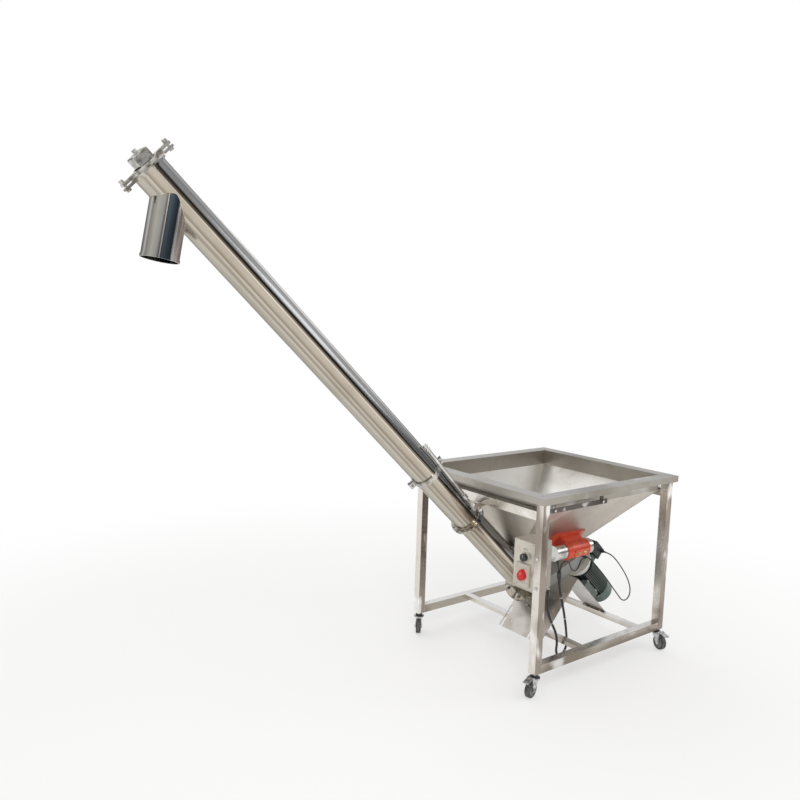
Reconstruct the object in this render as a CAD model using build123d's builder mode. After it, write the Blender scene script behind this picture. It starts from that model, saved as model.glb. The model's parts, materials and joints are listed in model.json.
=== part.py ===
from build123d import *
import os
from math import cos, hypot, pi, radians, sin, sqrt, tan

# Inclined grain auger on a wheeled frame: a square hopper feeds a screw in a round tube that climbs
# towards -X. Millimetres, +Z up, floor at z = 0. While modelling, X = Y = 0 is the frame's centre; the
# finished pieces are then moved so that the origin is the bottom centre of the whole machine's box.
os.makedirs("parts", exist_ok=True)

# ---- clearances
RUN_GAP = 0.05          # radial clearance of a shaft in its bearing
FACE_GAP = 0.3          # clearance between faces that pass each other
HOLE_GAP = 0.1          # radial clearance of a fastener in its hole

# ---- frame
FRAME_X, FRAME_Y = 945.0, 865.0
BAR, BAR_WALL = 40.0, 2.0
CASTER_HEIGHT = 100.0
LEG_TOP = 898.0
LEG_FOOT_PLATE, LEG_CAP = 5.0, 3.0
RAIL_Z = 100.0          # underside of the bottom rails
TOP_RAIL_Z = 793.0      # underside of the top rails
BEAM_DEPTH = 20.0
BEAM_TOP = RAIL_Z + BAR
FRONT_BEAM_X, REAR_BEAM_X = -126.9, 303.0
LEG_X, LEG_Y = FRAME_X / 2 - BAR / 2, FRAME_Y / 2 - BAR / 2
RAIL_X, RAIL_Y = FRAME_X - 2 * BAR, FRAME_Y - 2 * BAR

# ---- hopper
SHEET = 2.0
RIM_OVER = 18.0         # of the rim past the legs' outer faces
RIM_X, RIM_Y = FRAME_X + 2 * RIM_OVER, FRAME_Y + 2 * RIM_OVER
RIM_FLANGE, RIM_SKIRT = 70.0, 30.0
BAND_BOTTOM = 820.0
RIM_SCREW, RIM_HEAD_R, RIM_SCREW_LENGTH = 3.0, 6.0, 9.0
INLET_LENGTH, INLET_WIDTH, INLET_MID, INLET_HEIGHT = 186.0, 121.0, 275.0, 69.0
OPENING_X, OPENING_Y = RIM_X - 2 * RIM_FLANGE, RIM_Y - 2 * RIM_FLANGE

# ---- auger axis and tube; s runs up the tube, x towards the control side (-Y), h square to both
CLIMB = 43.2
FOOT_Z = 231.0
TUBE_R, TUBE_WALL = 66.5, 2.0
FLANGE_R, FLANGE_THICK, FLANGE_S = 108.0, 10.0, 140.0
JOINT_S, JOINT_RING_R, JOINT_RING = 708.0, 85.0, 6.0
HEAD_S, END_RING_R, END_RING = 2772.0, 74.0, 8.0
SHAFT_R, FOOT_STUB_R, HEAD_STUB_R = 21.0, 15.0, 12.0
FOOT_STUB_S, SHAFT_S, SHAFT_END_S, HEAD_STUB_END_S = 60.0, 160.0, 2740.0, 2815.0
FLIGHT_R, FLIGHT_THICK, FLIGHT_PITCH, FLIGHT_TURNS, FLIGHT_S = 61.0, 3.0, 110.0, 23, 168.0

# ---- spout and head
SPOUT_R, SPOUT_S, SPOUT_LEAN, SPOUT_LENGTH = 65.0, 2665.0, 10.0, 235.0
SPOUT_BEAD, SPOUT_BAND = 2.0, 10.0
HEAD_COVER = 6.0
HEAD_BLOCK, HEAD_BLOCK_LENGTH = 62.0, 48.0
YOKE_RING_R, YOKE_BORE_R, YOKE_WIDTH, YOKE_THICK = 50.0, 44.0, 26.0, 10.0
YOKE_BOLT_H, BOLT_R, YOKE_HALF = 105.0, 5.0, 116.0

# ---- stay and clamp
STAY_LOW, STAY_HIGH = (786.0, 78.0, 30.0), (1208.0, 52.0, 62.0)
STAY_R, STAY_ROD_R, STAY_EYE_R = 9.0, 5.0, 13.0
CLAMP_S, CLAMP_WIDTH, CLAMP_R, CLAMP_TURN = 1068.0, 25.0, 73.0, 22.0

# ---- chain drive
PITCH, TEETH, LINKS = 12.7, 16, 58
CHAIN_ANGLE = 30.0      # of the motor axis, from straight above the screw towards the control side
SPROCKET_S, SPROCKET_THICK, SPROCKET_TIP = 84.0, 7.0, 3.2
ROLLER_R, LINK_THICK, LINK_HALF = 4.25, 1.6, 5.5
CASE_S, CASE_END_S, CASE_R, CASE_WALL = 50.0, 112.0, 45.0, 2.0
FOOT_COVER, FOOT_BEARING_R, FOOT_BEARING = 8.0, 45.0, 20.0
TIE_ROD_R, TIE_ROD_REACH, TIE_NUT_R = 6.0, 90.0, 10.0
TIE_ANGLES = (75.0, 165.0, 225.0, 345.0)

# ---- motor and its plates
PLATE, PLATE_LEFT, PLATE_RIGHT, PLATE_LOW, PLATE_HIGH = 5.0, -75.0, 204.0, -235.0, 147.0
BASE_THICK, BASE_LEFT = 4.0, 58.0
OUT_SHAFT_R, ROTOR_SHAFT_R = 9.0, 9.0
GEARHEAD_R, GEARHEAD_FLANGE_R, GEARHEAD_FLANGE, GEARHEAD_S = 62.0, 80.0, 12.0, 8.0
MOTOR_R, FIN_R, FIN_COUNT, FIN_THICK = 58.0, 70.0, 30, 3.0
MOTOR_S, MOTOR_BORE_R, MOTOR_END = -195.0, 36.0, 6.0
COWL_S, COWL_END_S, COWL_ROUND = -185.0, -255.0, 20.0
TERMINAL_S, TERMINAL_END_S, TERMINAL_LOW, TERMINAL_HIGH, TERMINAL_HALF = -45.0, 36.0, 318.0, 378.0, 45.0

# ---- vibrator
VIB = (-37.0, -241.0, 552.0)
VIB_R, VIB_WALL, VIB_BACK, VIB_FRONT = 42.0, 5.0, -106.0, 49.0
VIB_CAP_R, VIB_CAP_END, VIB_REAR_END = 38.0, -177.0, 79.0
VIB_SHAFT_R, VIB_WEIGHT_R = 8.0, 30.0

# ---- control box on the front left leg
BOX_DEPTH, BOX_Z, BOX_TOP, BOX_WALL = 110.0, 467.0, 687.0, 2.0
BOX_WIDTH = 120.0
KNOB_Y, KNOB_Z, ISOLATOR_Z = -340.0, 614.0, 532.0
SWITCH_WIDTH, SWITCH_HEIGHT, SWITCH_THICK = 75.0, 105.0, 8.0
KNOB_SHAFT_R = 3.0
LEG_BOLT_ZS = (492.0, 625.0)

# ---- casters
WHEEL_R, WHEEL_WIDTH, TRAIL, AXLE_R = 37.5, 25.0, 30.0, 4.0
STEM_R, COLLAR_R = 8.0, 17.0
FORK_Z, FORK_THICK, FORK_INSIDE = 78.0, 5.0, 14.0
PEDAL_X, PEDAL_Z, PEDAL_PIN_R = 34.0, 88.0, 3.0
CASTERS = {
    "front_left": (-1, -1, 195.0, True),
    "rear_left": (1, -1, 255.0, True),
    "front_right": (-1, 1, 229.0, False),
    "rear_right": (1, 1, 160.0, False),
}

# ---- directions of the auger
AXIS = Vector(-cos(radians(CLIMB)), 0, sin(radians(CLIMB)))
UP = Vector(sin(radians(CLIMB)), 0, cos(radians(CLIMB)))
SIDE = Vector(0, -1, 0)
FOOT = Vector(0, 0, FOOT_Z)
CENTRES = (LINKS - TEETH) / 2 * PITCH
PITCH_R = PITCH / 2 / sin(pi / TEETH)
MOTOR_X, MOTOR_H = CENTRES * sin(radians(CHAIN_ANGLE)), CENTRES * cos(radians(CHAIN_ANGLE))

pieces = {}


def keep(name, builder):
    """Label a finished sub-part and hold it for the export."""
    builder.part.label = name
    pieces[name] = builder.part


def at(s, x=0.0, h=0.0):
    """Point s up the auger axis, x towards the control side and h square above it."""
    return FOOT + AXIS * s + SIDE * x + UP * h


def across(s, x=0.0, h=0.0):
    """Plane square to the auger axis; its local x is SIDE and its local y is UP."""
    return Plane(origin=at(s, x, h), x_dir=SIDE, z_dir=AXIS)


def along(s, x=0.0, h=0.0):
    """Plane along the auger that faces UP; its local x runs downhill and its local y is +Y."""
    return Plane(origin=at(s, x, h), x_dir=AXIS * -1, z_dir=UP)


def upright(x, y, z):
    """Level plane at a point."""
    return Plane(origin=(x, y, z))


def rod(plane, radius, length, mode=Mode.ADD):
    """Round bar in the current part, from the plane along its normal."""
    with BuildSketch(plane) as section:
        Circle(radius)
    extrude(section.sketch, amount=length, mode=mode)


def block(plane, width, height, length, mode=Mode.ADD):
    """Rectangular bar in the current part, from the plane along its normal."""
    with BuildSketch(plane) as section:
        Rectangle(width, height)
    extrude(section.sketch, amount=length, mode=mode)


def countersink(x, y, gap=0.0, mode=Mode.ADD):
    """Cone of a countersunk rim screw in the current part, flush with the rim's top."""
    with Locations((x, y, LEG_TOP + SHEET)):
        Cone(
            RIM_SCREW + gap, RIM_HEAD_R + gap, RIM_HEAD_R - RIM_SCREW,
            align=(Align.CENTER, Align.CENTER, Align.MAX), mode=mode,
        )


def bolt(plane, radius, length, head_radius, head_height):
    """Hexagon-headed bolt: the head stands on the plane and the shank goes down through it."""
    with BuildSketch(plane) as head:
        RegularPolygon(head_radius, 6)
    extrude(head.sketch, amount=head_height)
    rod(plane, radius, -length)


def nut(plane, radius, height):
    """Hexagon nut in the current part."""
    with BuildSketch(plane) as section:
        RegularPolygon(radius, 6)
    extrude(section.sketch, amount=height)


# ------------------------------------------------------------------ frame
def leg(name, side_x, side_y, bolt_zs=()):
    """Square leg with a foot plate for the caster stem, a cap for the rim screw and cross holes."""
    x, y = side_x * LEG_X, side_y * LEG_Y
    inside = BAR - 2 * BAR_WALL
    with BuildPart() as post:
        block(upright(x, y, CASTER_HEIGHT), BAR, BAR, LEG_TOP - CASTER_HEIGHT)
        hollow = LEG_TOP - CASTER_HEIGHT - LEG_FOOT_PLATE - LEG_CAP
        block(upright(x, y, CASTER_HEIGHT + LEG_FOOT_PLATE), inside, inside, hollow, Mode.SUBTRACT)
        rod(upright(x, y, CASTER_HEIGHT), STEM_R + HOLE_GAP, LEG_FOOT_PLATE, Mode.SUBTRACT)
        rod(upright(x, y, LEG_TOP), RIM_SCREW + HOLE_GAP, -LEG_CAP, Mode.SUBTRACT)
        countersink(x, y, HOLE_GAP, Mode.SUBTRACT)
        for bolt_z in bolt_zs:
            rod(along_x(x - BAR / 2, y, bolt_z), BOLT_R + HOLE_GAP, BAR, Mode.SUBTRACT)
    keep(name, post)


def hollow_bar(plane, width, height, length):
    """Square or flat tube in the current part."""
    block(plane, width, height, length)
    block(plane, width - 2 * BAR_WALL, height - 2 * BAR_WALL, length, Mode.SUBTRACT)


def along_x(x, y, z):
    """Plane that faces +X; its local x is +Y and its local y is +Z."""
    return Plane(origin=(x, y, z), x_dir=(0, 1, 0), z_dir=(1, 0, 0))


def along_y(x, y, z):
    """Plane that faces +Y; its local x is -X and its local y is +Z."""
    return Plane(origin=(x, y, z), x_dir=(-1, 0, 0), z_dir=(0, 1, 0))


for corner, (side_x, side_y, _yaw, _braked) in CASTERS.items():
    leg(f"leg_{corner}", side_x, side_y, LEG_BOLT_ZS if corner == "front_left" else ())

with BuildPart() as bottom_rails:
    for side in (-1, 1):
        hollow_bar(along_x(-RAIL_X / 2, side * LEG_Y, RAIL_Z + BAR / 2), BAR, BAR, RAIL_X)
keep("bottom_rails", bottom_rails)

with BuildPart() as crossbeams:
    for beam_x in (FRONT_BEAM_X, REAR_BEAM_X):
        hollow_bar(along_y(beam_x, -RAIL_Y / 2, BEAM_TOP - BEAM_DEPTH / 2), BAR, BEAM_DEPTH, RAIL_Y)
keep("crossbeams", crossbeams)

with BuildPart() as rail_rear:
    hollow_bar(along_y(LEG_X, -RAIL_Y / 2, TOP_RAIL_Z + BAR / 2), BAR, BAR, RAIL_Y)
keep("rail_rear", rail_rear)


def stay_plane(t):
    """Plane square to the stay, t along it from its lower pin."""
    low, high = at(*STAY_LOW), at(*STAY_HIGH)
    direction = (high - low).normalized()
    return Plane(origin=low + direction * t, x_dir=SIDE, z_dir=direction)


STRAP, STRAP_HEIGHT, EYE_LENGTH = 6.0, 22.0, 24.0
with BuildPart() as rail_front:
    hollow_bar(along_y(-LEG_X, -RAIL_Y / 2, TOP_RAIL_Z + BAR / 2), BAR, BAR, RAIL_Y)
    eye = at(*STAY_LOW)
    face_x = -FRAME_X / 2
    with BuildSketch(Plane(origin=(0, eye.Y + STRAP / 2, 0), x_dir=(1, 0, 0), z_dir=(0, -1, 0))) as strap:
        Polygon(
            (face_x, TOP_RAIL_Z), (face_x, TOP_RAIL_Z + STRAP_HEIGHT),
            (eye.X, eye.Z + STRAP_HEIGHT / 2), (eye.X, eye.Z - STRAP_HEIGHT / 2), align=None,
        )
    extrude(strap.sketch, amount=STRAP)
    rod(stay_plane(-EYE_LENGTH / 2), STAY_EYE_R, EYE_LENGTH)
    rod(stay_plane(-EYE_LENGTH), STAY_R + HOLE_GAP, 2 * EYE_LENGTH, Mode.SUBTRACT)
keep("rail_front", rail_front)


# ------------------------------------------------------------------ hopper
def funnel(skin):
    """Tapering body of the hopper with its walls moved out by skin."""
    with BuildPart() as body:
        with BuildSketch(upright(0, 0, BAND_BOTTOM)) as top:
            Rectangle(OPENING_X + 2 * skin, OPENING_Y + 2 * skin)
        with BuildSketch(along(INLET_MID, 0, INLET_HEIGHT)) as outlet:
            Rectangle(INLET_LENGTH + 2 * skin, INLET_WIDTH + 2 * skin)
        loft([top.sketch.face(), outlet.sketch.face()], ruled=True)
    return body.part


funnel_outside, funnel_inside = funnel(SHEET), funnel(0)

with BuildPart() as hopper:
    with BuildSketch(upright(0, 0, LEG_TOP)):
        Rectangle(RIM_X, RIM_Y)
        Rectangle(OPENING_X, OPENING_Y, mode=Mode.SUBTRACT)
        with GridLocations(2 * LEG_X, 2 * LEG_Y, 2, 2):
            Circle(RIM_SCREW + HOLE_GAP, mode=Mode.SUBTRACT)
    extrude(amount=SHEET)
    with BuildSketch(upright(0, 0, LEG_TOP + SHEET - RIM_SKIRT)):
        Rectangle(RIM_X, RIM_Y)
        Rectangle(RIM_X - 2 * SHEET, RIM_Y - 2 * SHEET, mode=Mode.SUBTRACT)
    extrude(amount=RIM_SKIRT - SHEET)
    with BuildSketch(upright(0, 0, BAND_BOTTOM)):
        Rectangle(OPENING_X + 2 * SHEET, OPENING_Y + 2 * SHEET)
        Rectangle(OPENING_X, OPENING_Y, mode=Mode.SUBTRACT)
    extrude(amount=LEG_TOP - BAND_BOTTOM)
    add(funnel_outside)
    add(funnel_inside, mode=Mode.SUBTRACT)
    for side_x in (-1, 1):
        for side_y in (-1, 1):
            countersink(side_x * LEG_X, side_y * LEG_Y, HOLE_GAP, Mode.SUBTRACT)
keep("hopper", hopper)

SIDE_BAR_START, SIDE_BAR_END, SIDE_BAR_Z, SIDE_BAR_HEIGHT = -FRAME_X / 2 + BAR, -43.0, 825.0, 21.0
SIDE_BAR_THICK, HANGER_WIDTH, HANGER_XS = 5.0, 20.0, (-400.0, -75.0)
with BuildPart() as side_bar:
    bar_length = SIDE_BAR_END - SIDE_BAR_START
    block(
        along_x(SIDE_BAR_START, -FRAME_Y / 2 + SIDE_BAR_THICK / 2, SIDE_BAR_Z + SIDE_BAR_HEIGHT / 2),
        SIDE_BAR_THICK, SIDE_BAR_HEIGHT, bar_length,
    )
    for hanger_x in HANGER_XS:
        hanger = upright(hanger_x, -FRAME_Y / 2 + SIDE_BAR_THICK * 1.5, SIDE_BAR_Z)
        block(hanger, HANGER_WIDTH, SIDE_BAR_THICK, LEG_TOP - SIDE_BAR_Z)
keep("side_bar", side_bar)

# ------------------------------------------------------------------ tube
TIE_POINTS = [
    (TIE_ROD_REACH * sin(radians(angle)), TIE_ROD_REACH * cos(radians(angle))) for angle in TIE_ANGLES
]


def tie_holes(plane, depth):
    """Holes for the four tie rods through the current part."""
    with BuildSketch(plane) as holes:
        with Locations(*TIE_POINTS):
            Circle(TIE_ROD_R + HOLE_GAP)
    extrude(holes.sketch, amount=depth, mode=Mode.SUBTRACT)


RING_BOLT_REACH, RING_BOLT_R, RING_BOLTS = 76.0, 3.0, 6


def ring_holes(plane, depth):
    """Bolt circle of the tube's middle joint."""
    with BuildSketch(plane) as holes:
        with PolarLocations(RING_BOLT_REACH, RING_BOLTS):
            Circle(RING_BOLT_R + HOLE_GAP)
    extrude(holes.sketch, amount=depth, mode=Mode.SUBTRACT)


with BuildPart() as inlet_tube:
    rod(across(FLANGE_S), FLANGE_R, FLANGE_THICK)
    rod(across(FLANGE_S), TUBE_R, JOINT_S - FLANGE_S)
    rod(across(JOINT_S), JOINT_RING_R, -JOINT_RING)
    block(along(INLET_MID), INLET_LENGTH + 2 * SHEET, INLET_WIDTH + 2 * SHEET, INLET_HEIGHT)
    rod(across(FLANGE_S), TUBE_R - TUBE_WALL, JOINT_S - FLANGE_S, Mode.SUBTRACT)
    block(along(INLET_MID), INLET_LENGTH, INLET_WIDTH, INLET_HEIGHT, Mode.SUBTRACT)
    tie_holes(across(FLANGE_S), FLANGE_THICK)
    ring_holes(across(JOINT_S), -JOINT_RING)
keep("inlet_tube", inlet_tube)

SPOUT_DOWN = Vector(-sin(radians(SPOUT_LEAN)), 0, -cos(radians(SPOUT_LEAN)))
SPOUT_PLANE = Plane(origin=at(SPOUT_S), x_dir=(0, 1, 0), z_dir=SPOUT_DOWN)

with BuildPart() as upper_tube:
    rod(across(JOINT_S), TUBE_R, HEAD_S - JOINT_S)
    rod(across(JOINT_S), JOINT_RING_R, JOINT_RING)
    rod(across(HEAD_S), END_RING_R, -END_RING)
    block(across(HEAD_S), YOKE_WIDTH, 2 * YOKE_HALF, -END_RING)
    rod(across(JOINT_S), TUBE_R - TUBE_WALL, HEAD_S - JOINT_S, Mode.SUBTRACT)
    rod(SPOUT_PLANE, SPOUT_R - TUBE_WALL, SPOUT_LENGTH, Mode.SUBTRACT)
    for side in (-1, 1):
        rod(across(HEAD_S, 0, side * YOKE_BOLT_H), BOLT_R + HOLE_GAP, -END_RING, Mode.SUBTRACT)
    ring_holes(across(JOINT_S), JOINT_RING)
keep("upper_tube", upper_tube)

with BuildPart() as spout:
    rod(SPOUT_PLANE, SPOUT_R, SPOUT_LENGTH)
    rod(SPOUT_PLANE, SPOUT_R - TUBE_WALL, SPOUT_LENGTH, Mode.SUBTRACT)
    rod(SPOUT_PLANE.offset(SPOUT_LENGTH), SPOUT_R + SPOUT_BEAD, -SPOUT_BAND)
    rod(SPOUT_PLANE.offset(SPOUT_LENGTH - SPOUT_BAND), SPOUT_R - TUBE_WALL, SPOUT_BAND, Mode.SUBTRACT)
    rod(across(SPOUT_S - SPOUT_LENGTH), TUBE_R, HEAD_S - SPOUT_S + SPOUT_LENGTH, Mode.SUBTRACT)
keep("spout", spout)

LUG_REACH, LUG_LENGTH, LUG_WIDTH, CLAMP_SPLIT, CLAMP_BOLT = 84.0, 24.0, 24.0, 7.0, 44.0
CLAMP_TANGENT = SIDE * cos(radians(CLAMP_TURN)) - UP * sin(radians(CLAMP_TURN))
with BuildPart() as tube_clamp:
    with BuildSketch(across(CLAMP_S - CLAMP_WIDTH / 2)):
        Circle(CLAMP_R)
        with PolarLocations(LUG_REACH, 2, start_angle=90 - CLAMP_TURN):
            Rectangle(LUG_LENGTH, LUG_WIDTH)
        Circle(TUBE_R + HOLE_GAP, mode=Mode.SUBTRACT)
        with PolarLocations(LUG_REACH, 2, start_angle=90 - CLAMP_TURN):
            Rectangle(2 * LUG_LENGTH, CLAMP_SPLIT, mode=Mode.SUBTRACT)
    extrude(amount=CLAMP_WIDTH)
    with BuildSketch(Plane(origin=at(CLAMP_S), x_dir=AXIS, z_dir=CLAMP_TANGENT)):
        with Locations((0, LUG_REACH), (0, -LUG_REACH)):
            Circle(4 + HOLE_GAP)
    extrude(amount=CLAMP_BOLT, both=True, mode=Mode.SUBTRACT)
    rod(stay_plane(0), STAY_R + HOLE_GAP, CLAMP_S, Mode.SUBTRACT)
keep("tube_clamp", tube_clamp)

STAY_LENGTH = (at(*STAY_HIGH) - at(*STAY_LOW)).length
CLEVIS_T, CLEVIS_LENGTH, CLEVIS_R, STAY_NUT_R = 66.0, 26.0, 12.0, 12.0
with BuildPart() as stay_rod:
    rod(stay_plane(-EYE_LENGTH / 2), STAY_R, 1.5 * EYE_LENGTH)
    rod(stay_plane(0), STAY_ROD_R, CLEVIS_T)
    rod(stay_plane(CLEVIS_T), CLEVIS_R, CLEVIS_LENGTH)
    rod(stay_plane(CLEVIS_T + CLEVIS_LENGTH), STAY_R, STAY_LENGTH - CLEVIS_T - CLEVIS_LENGTH)
    for back in (14.0, 34.0):
        nut(stay_plane(STAY_LENGTH - back), STAY_NUT_R, 7.0)
keep("stay_rod", stay_rod)

# ------------------------------------------------------------------ head
with BuildPart() as head_cover:
    rod(across(HEAD_S), END_RING_R, HEAD_COVER)
    rod(across(HEAD_S), HEAD_STUB_R + 1, HEAD_COVER, Mode.SUBTRACT)
keep("head_cover", head_cover)

BLOCK_S = HEAD_S + HEAD_COVER
with BuildPart() as head_bearing:
    block(across(BLOCK_S), HEAD_BLOCK, HEAD_BLOCK, HEAD_BLOCK_LENGTH)
    rod(across(BLOCK_S), HEAD_STUB_R + RUN_GAP, HEAD_STUB_END_S - BLOCK_S + 3, Mode.SUBTRACT)
    chamfer(head_bearing.faces().sort_by(Axis(tuple(FOOT), tuple(AXIS)))[-1].edges(), 3)
keep("head_bearing", head_bearing)

with BuildPart() as head_yoke:
    with BuildSketch(across(BLOCK_S)):
        Circle(YOKE_RING_R)
        Rectangle(YOKE_WIDTH, 2 * YOKE_HALF - 6)
        Circle(YOKE_BORE_R, mode=Mode.SUBTRACT)
        with Locations((0, YOKE_BOLT_H), (0, -YOKE_BOLT_H)):
            Circle(BOLT_R + HOLE_GAP, mode=Mode.SUBTRACT)
    extrude(amount=YOKE_THICK)
keep("head_yoke", head_yoke)

WING_SPAN, WING_THICK, WING_NUT_R, WING_NUT = 38.0, 4.0, 8.0, 12.0
with BuildPart() as yoke_bolts:
    for side in (-1, 1):
        ear_s = HEAD_S - END_RING
        rod(across(ear_s, 0, side * YOKE_BOLT_H), BOLT_R, HEAD_S - ear_s + HEAD_COVER + 2 * YOKE_THICK)
        nut(across(ear_s, 0, side * YOKE_BOLT_H), 9.0, -8.0)
        rod(across(BLOCK_S + YOKE_THICK, 0, side * YOKE_BOLT_H), WING_NUT_R, WING_NUT)
        block(across(BLOCK_S + YOKE_THICK, 0, side * YOKE_BOLT_H), WING_SPAN, WING_THICK, WING_NUT)
keep("yoke_bolts", yoke_bolts)

# ------------------------------------------------------------------ screw
with BuildPart() as flight:
    with BuildLine():
        helix = Helix(
            pitch=FLIGHT_PITCH, height=FLIGHT_PITCH * FLIGHT_TURNS, radius=(FLIGHT_R + SHAFT_R) / 2,
            center=tuple(at(FLIGHT_S)), direction=tuple(AXIS),
        )
    blade_out = (helix @ 0 - at(FLIGHT_S)).normalized()
    with BuildSketch(Plane(origin=helix @ 0, x_dir=blade_out, z_dir=helix % 0)):
        Rectangle(FLIGHT_R - SHAFT_R, FLIGHT_THICK)
    sweep(is_frenet=True)

with BuildPart() as screw:
    rod(across(FOOT_STUB_S), FOOT_STUB_R, SHAFT_S - FOOT_STUB_S)
    rod(across(SHAFT_S), SHAFT_R, SHAFT_END_S - SHAFT_S)
    rod(across(SHAFT_END_S), HEAD_STUB_R, HEAD_STUB_END_S - SHAFT_END_S)
screw_group = Compound(children=[screw.part.solid(), flight.part.solid()])
screw_group.label = "screw"
pieces["screw"] = screw_group

# ------------------------------------------------------------------ chain drive
GAP_R, GAP_FLARE = ROLLER_R + 2 * RUN_GAP, 1.2


def sprocket(x, h, bore):
    """Chain wheel in the current part, with a round gap for each roller."""
    with BuildSketch(across(SPROCKET_S, x, h)) as wheel:
        Circle(PITCH_R + SPROCKET_TIP)
        with PolarLocations(PITCH_R, TEETH, start_angle=-CHAIN_ANGLE):
            Circle(GAP_R, mode=Mode.SUBTRACT)
        with PolarLocations(PITCH_R + SPROCKET_TIP, TEETH, start_angle=-CHAIN_ANGLE):
            Circle(GAP_R + GAP_FLARE, mode=Mode.SUBTRACT)
        Circle(bore, mode=Mode.SUBTRACT)
    extrude(wheel.sketch, amount=SPROCKET_THICK)


with BuildPart() as screw_sprocket:
    sprocket(0, 0, FOOT_STUB_R)
keep("screw_sprocket", screw_sprocket)

with BuildPart() as drive_sprocket:
    sprocket(MOTOR_X, MOTOR_H, OUT_SHAFT_R)
keep("drive_sprocket", drive_sprocket)

CHAIN_PLANE_TURN = 90 - CHAIN_ANGLE


def chain_loop(plane, radius_out, radius_in, thick):
    """Band round both sprockets, between two outlines."""
    with BuildSketch(plane) as band:
        with Locations((MOTOR_X / 2, MOTOR_H / 2)):
            SlotCenterToCenter(CENTRES, 2 * radius_out, rotation=CHAIN_PLANE_TURN)
            SlotCenterToCenter(CENTRES, 2 * radius_in, rotation=CHAIN_PLANE_TURN, mode=Mode.SUBTRACT)
    extrude(band.sketch, amount=thick)


def roller_points():
    """Centres of the rollers of the two straight runs, clear of every turn of the teeth, in the across plane."""
    ahead = Vector(sin(radians(CHAIN_ANGLE)), cos(radians(CHAIN_ANGLE)))
    aside = Vector(ahead.Y, -ahead.X)
    clear = PITCH_R + SPROCKET_TIP + ROLLER_R + 2 * RUN_GAP
    points = []
    for step in range(int(CENTRES / PITCH) + 1):
        reach = min(step * PITCH, CENTRES - step * PITCH)
        if reach > 0 and hypot(PITCH_R, reach) > clear:
            points += [ahead * (step * PITCH) + aside * (way * PITCH_R) for way in (-1, 1)]
    return [(point.X, point.Y) for point in points]


SIDE_GAP = 0.3
with BuildPart() as drive_chain:
    low_s = SPROCKET_S - SIDE_GAP - LINK_THICK
    high_s = SPROCKET_S + SPROCKET_THICK + SIDE_GAP
    chain_loop(across(low_s), PITCH_R + LINK_HALF, PITCH_R - LINK_HALF, LINK_THICK)
    chain_loop(across(high_s), PITCH_R + LINK_HALF, PITCH_R - LINK_HALF, LINK_THICK)
    with BuildSketch(across(low_s)):
        with Locations(*roller_points()):
            Circle(ROLLER_R)
    extrude(amount=high_s - low_s + LINK_THICK)
keep("drive_chain", drive_chain)

with BuildPart() as chain_case:
    with BuildSketch(across(CASE_S)):
        with Locations((MOTOR_X / 2, MOTOR_H / 2)):
            SlotCenterToCenter(CENTRES, 2 * CASE_R, rotation=CHAIN_PLANE_TURN)
    extrude(amount=CASE_END_S - CASE_S)
    with BuildSketch(across(CASE_S + CASE_WALL)):
        with Locations((MOTOR_X / 2, MOTOR_H / 2)):
            SlotCenterToCenter(CENTRES, 2 * (CASE_R - CASE_WALL), rotation=CHAIN_PLANE_TURN)
    extrude(amount=CASE_END_S - CASE_S - 2 * CASE_WALL, mode=Mode.SUBTRACT)
    rod(across(CASE_END_S), FOOT_STUB_R + 1, -CASE_WALL, Mode.SUBTRACT)
    rod(across(CASE_S, MOTOR_X, MOTOR_H), OUT_SHAFT_R + 1, CASE_WALL, Mode.SUBTRACT)
keep("chain_case", chain_case)

OUT_SHAFT_S, OUT_SHAFT_END = 12.0, 104.0
with BuildPart() as output_shaft:
    rod(across(OUT_SHAFT_S, MOTOR_X, MOTOR_H), OUT_SHAFT_R, OUT_SHAFT_END - OUT_SHAFT_S)
keep("output_shaft", output_shaft)

with BuildPart() as foot_cover:
    rod(across(FLANGE_S), FLANGE_R, -FOOT_COVER)
    rod(across(FLANGE_S), FOOT_STUB_R + 1, -FOOT_COVER, Mode.SUBTRACT)
    tie_holes(across(FLANGE_S), -FOOT_COVER)
keep("foot_cover", foot_cover)

with BuildPart() as foot_bearing:
    rod(across(CASE_END_S), FOOT_BEARING_R, FOOT_BEARING)
    rod(across(CASE_END_S), FOOT_STUB_R + RUN_GAP, FOOT_BEARING, Mode.SUBTRACT)
keep("foot_bearing", foot_bearing)

TIE_NUT = 8.0
PLATE_S = CASE_S - PLATE
with BuildPart() as tie_rods:
    for x, h in TIE_POINTS:
        bottom = PLATE_S - TIE_NUT - 3
        rod(across(bottom, x, h), TIE_ROD_R, FLANGE_S + FLANGE_THICK + TIE_NUT + 3 - bottom)
        for nut_s in (PLATE_S - TIE_NUT, CASE_S, FLANGE_S - FOOT_COVER - TIE_NUT, FLANGE_S + FLANGE_THICK):
            nut(across(nut_s, x, h), TIE_NUT_R, TIE_NUT)
keep("tie_rods", tie_rods)


# ------------------------------------------------------------------ motor
def axis_point(s, h):
    """X and Z of a point in the auger's middle plane."""
    point = at(s, 0, h)
    return point.X, point.Z


def height_on(s, z):
    """The h at which the plane across the auger at s reaches the height z."""
    return (z - at(s).Z) / UP.Z


def place_on(h, z):
    """The s at which the plane along the auger at h reaches the height z."""
    return (z - at(0, 0, h).Z) / AXIS.Z


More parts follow.
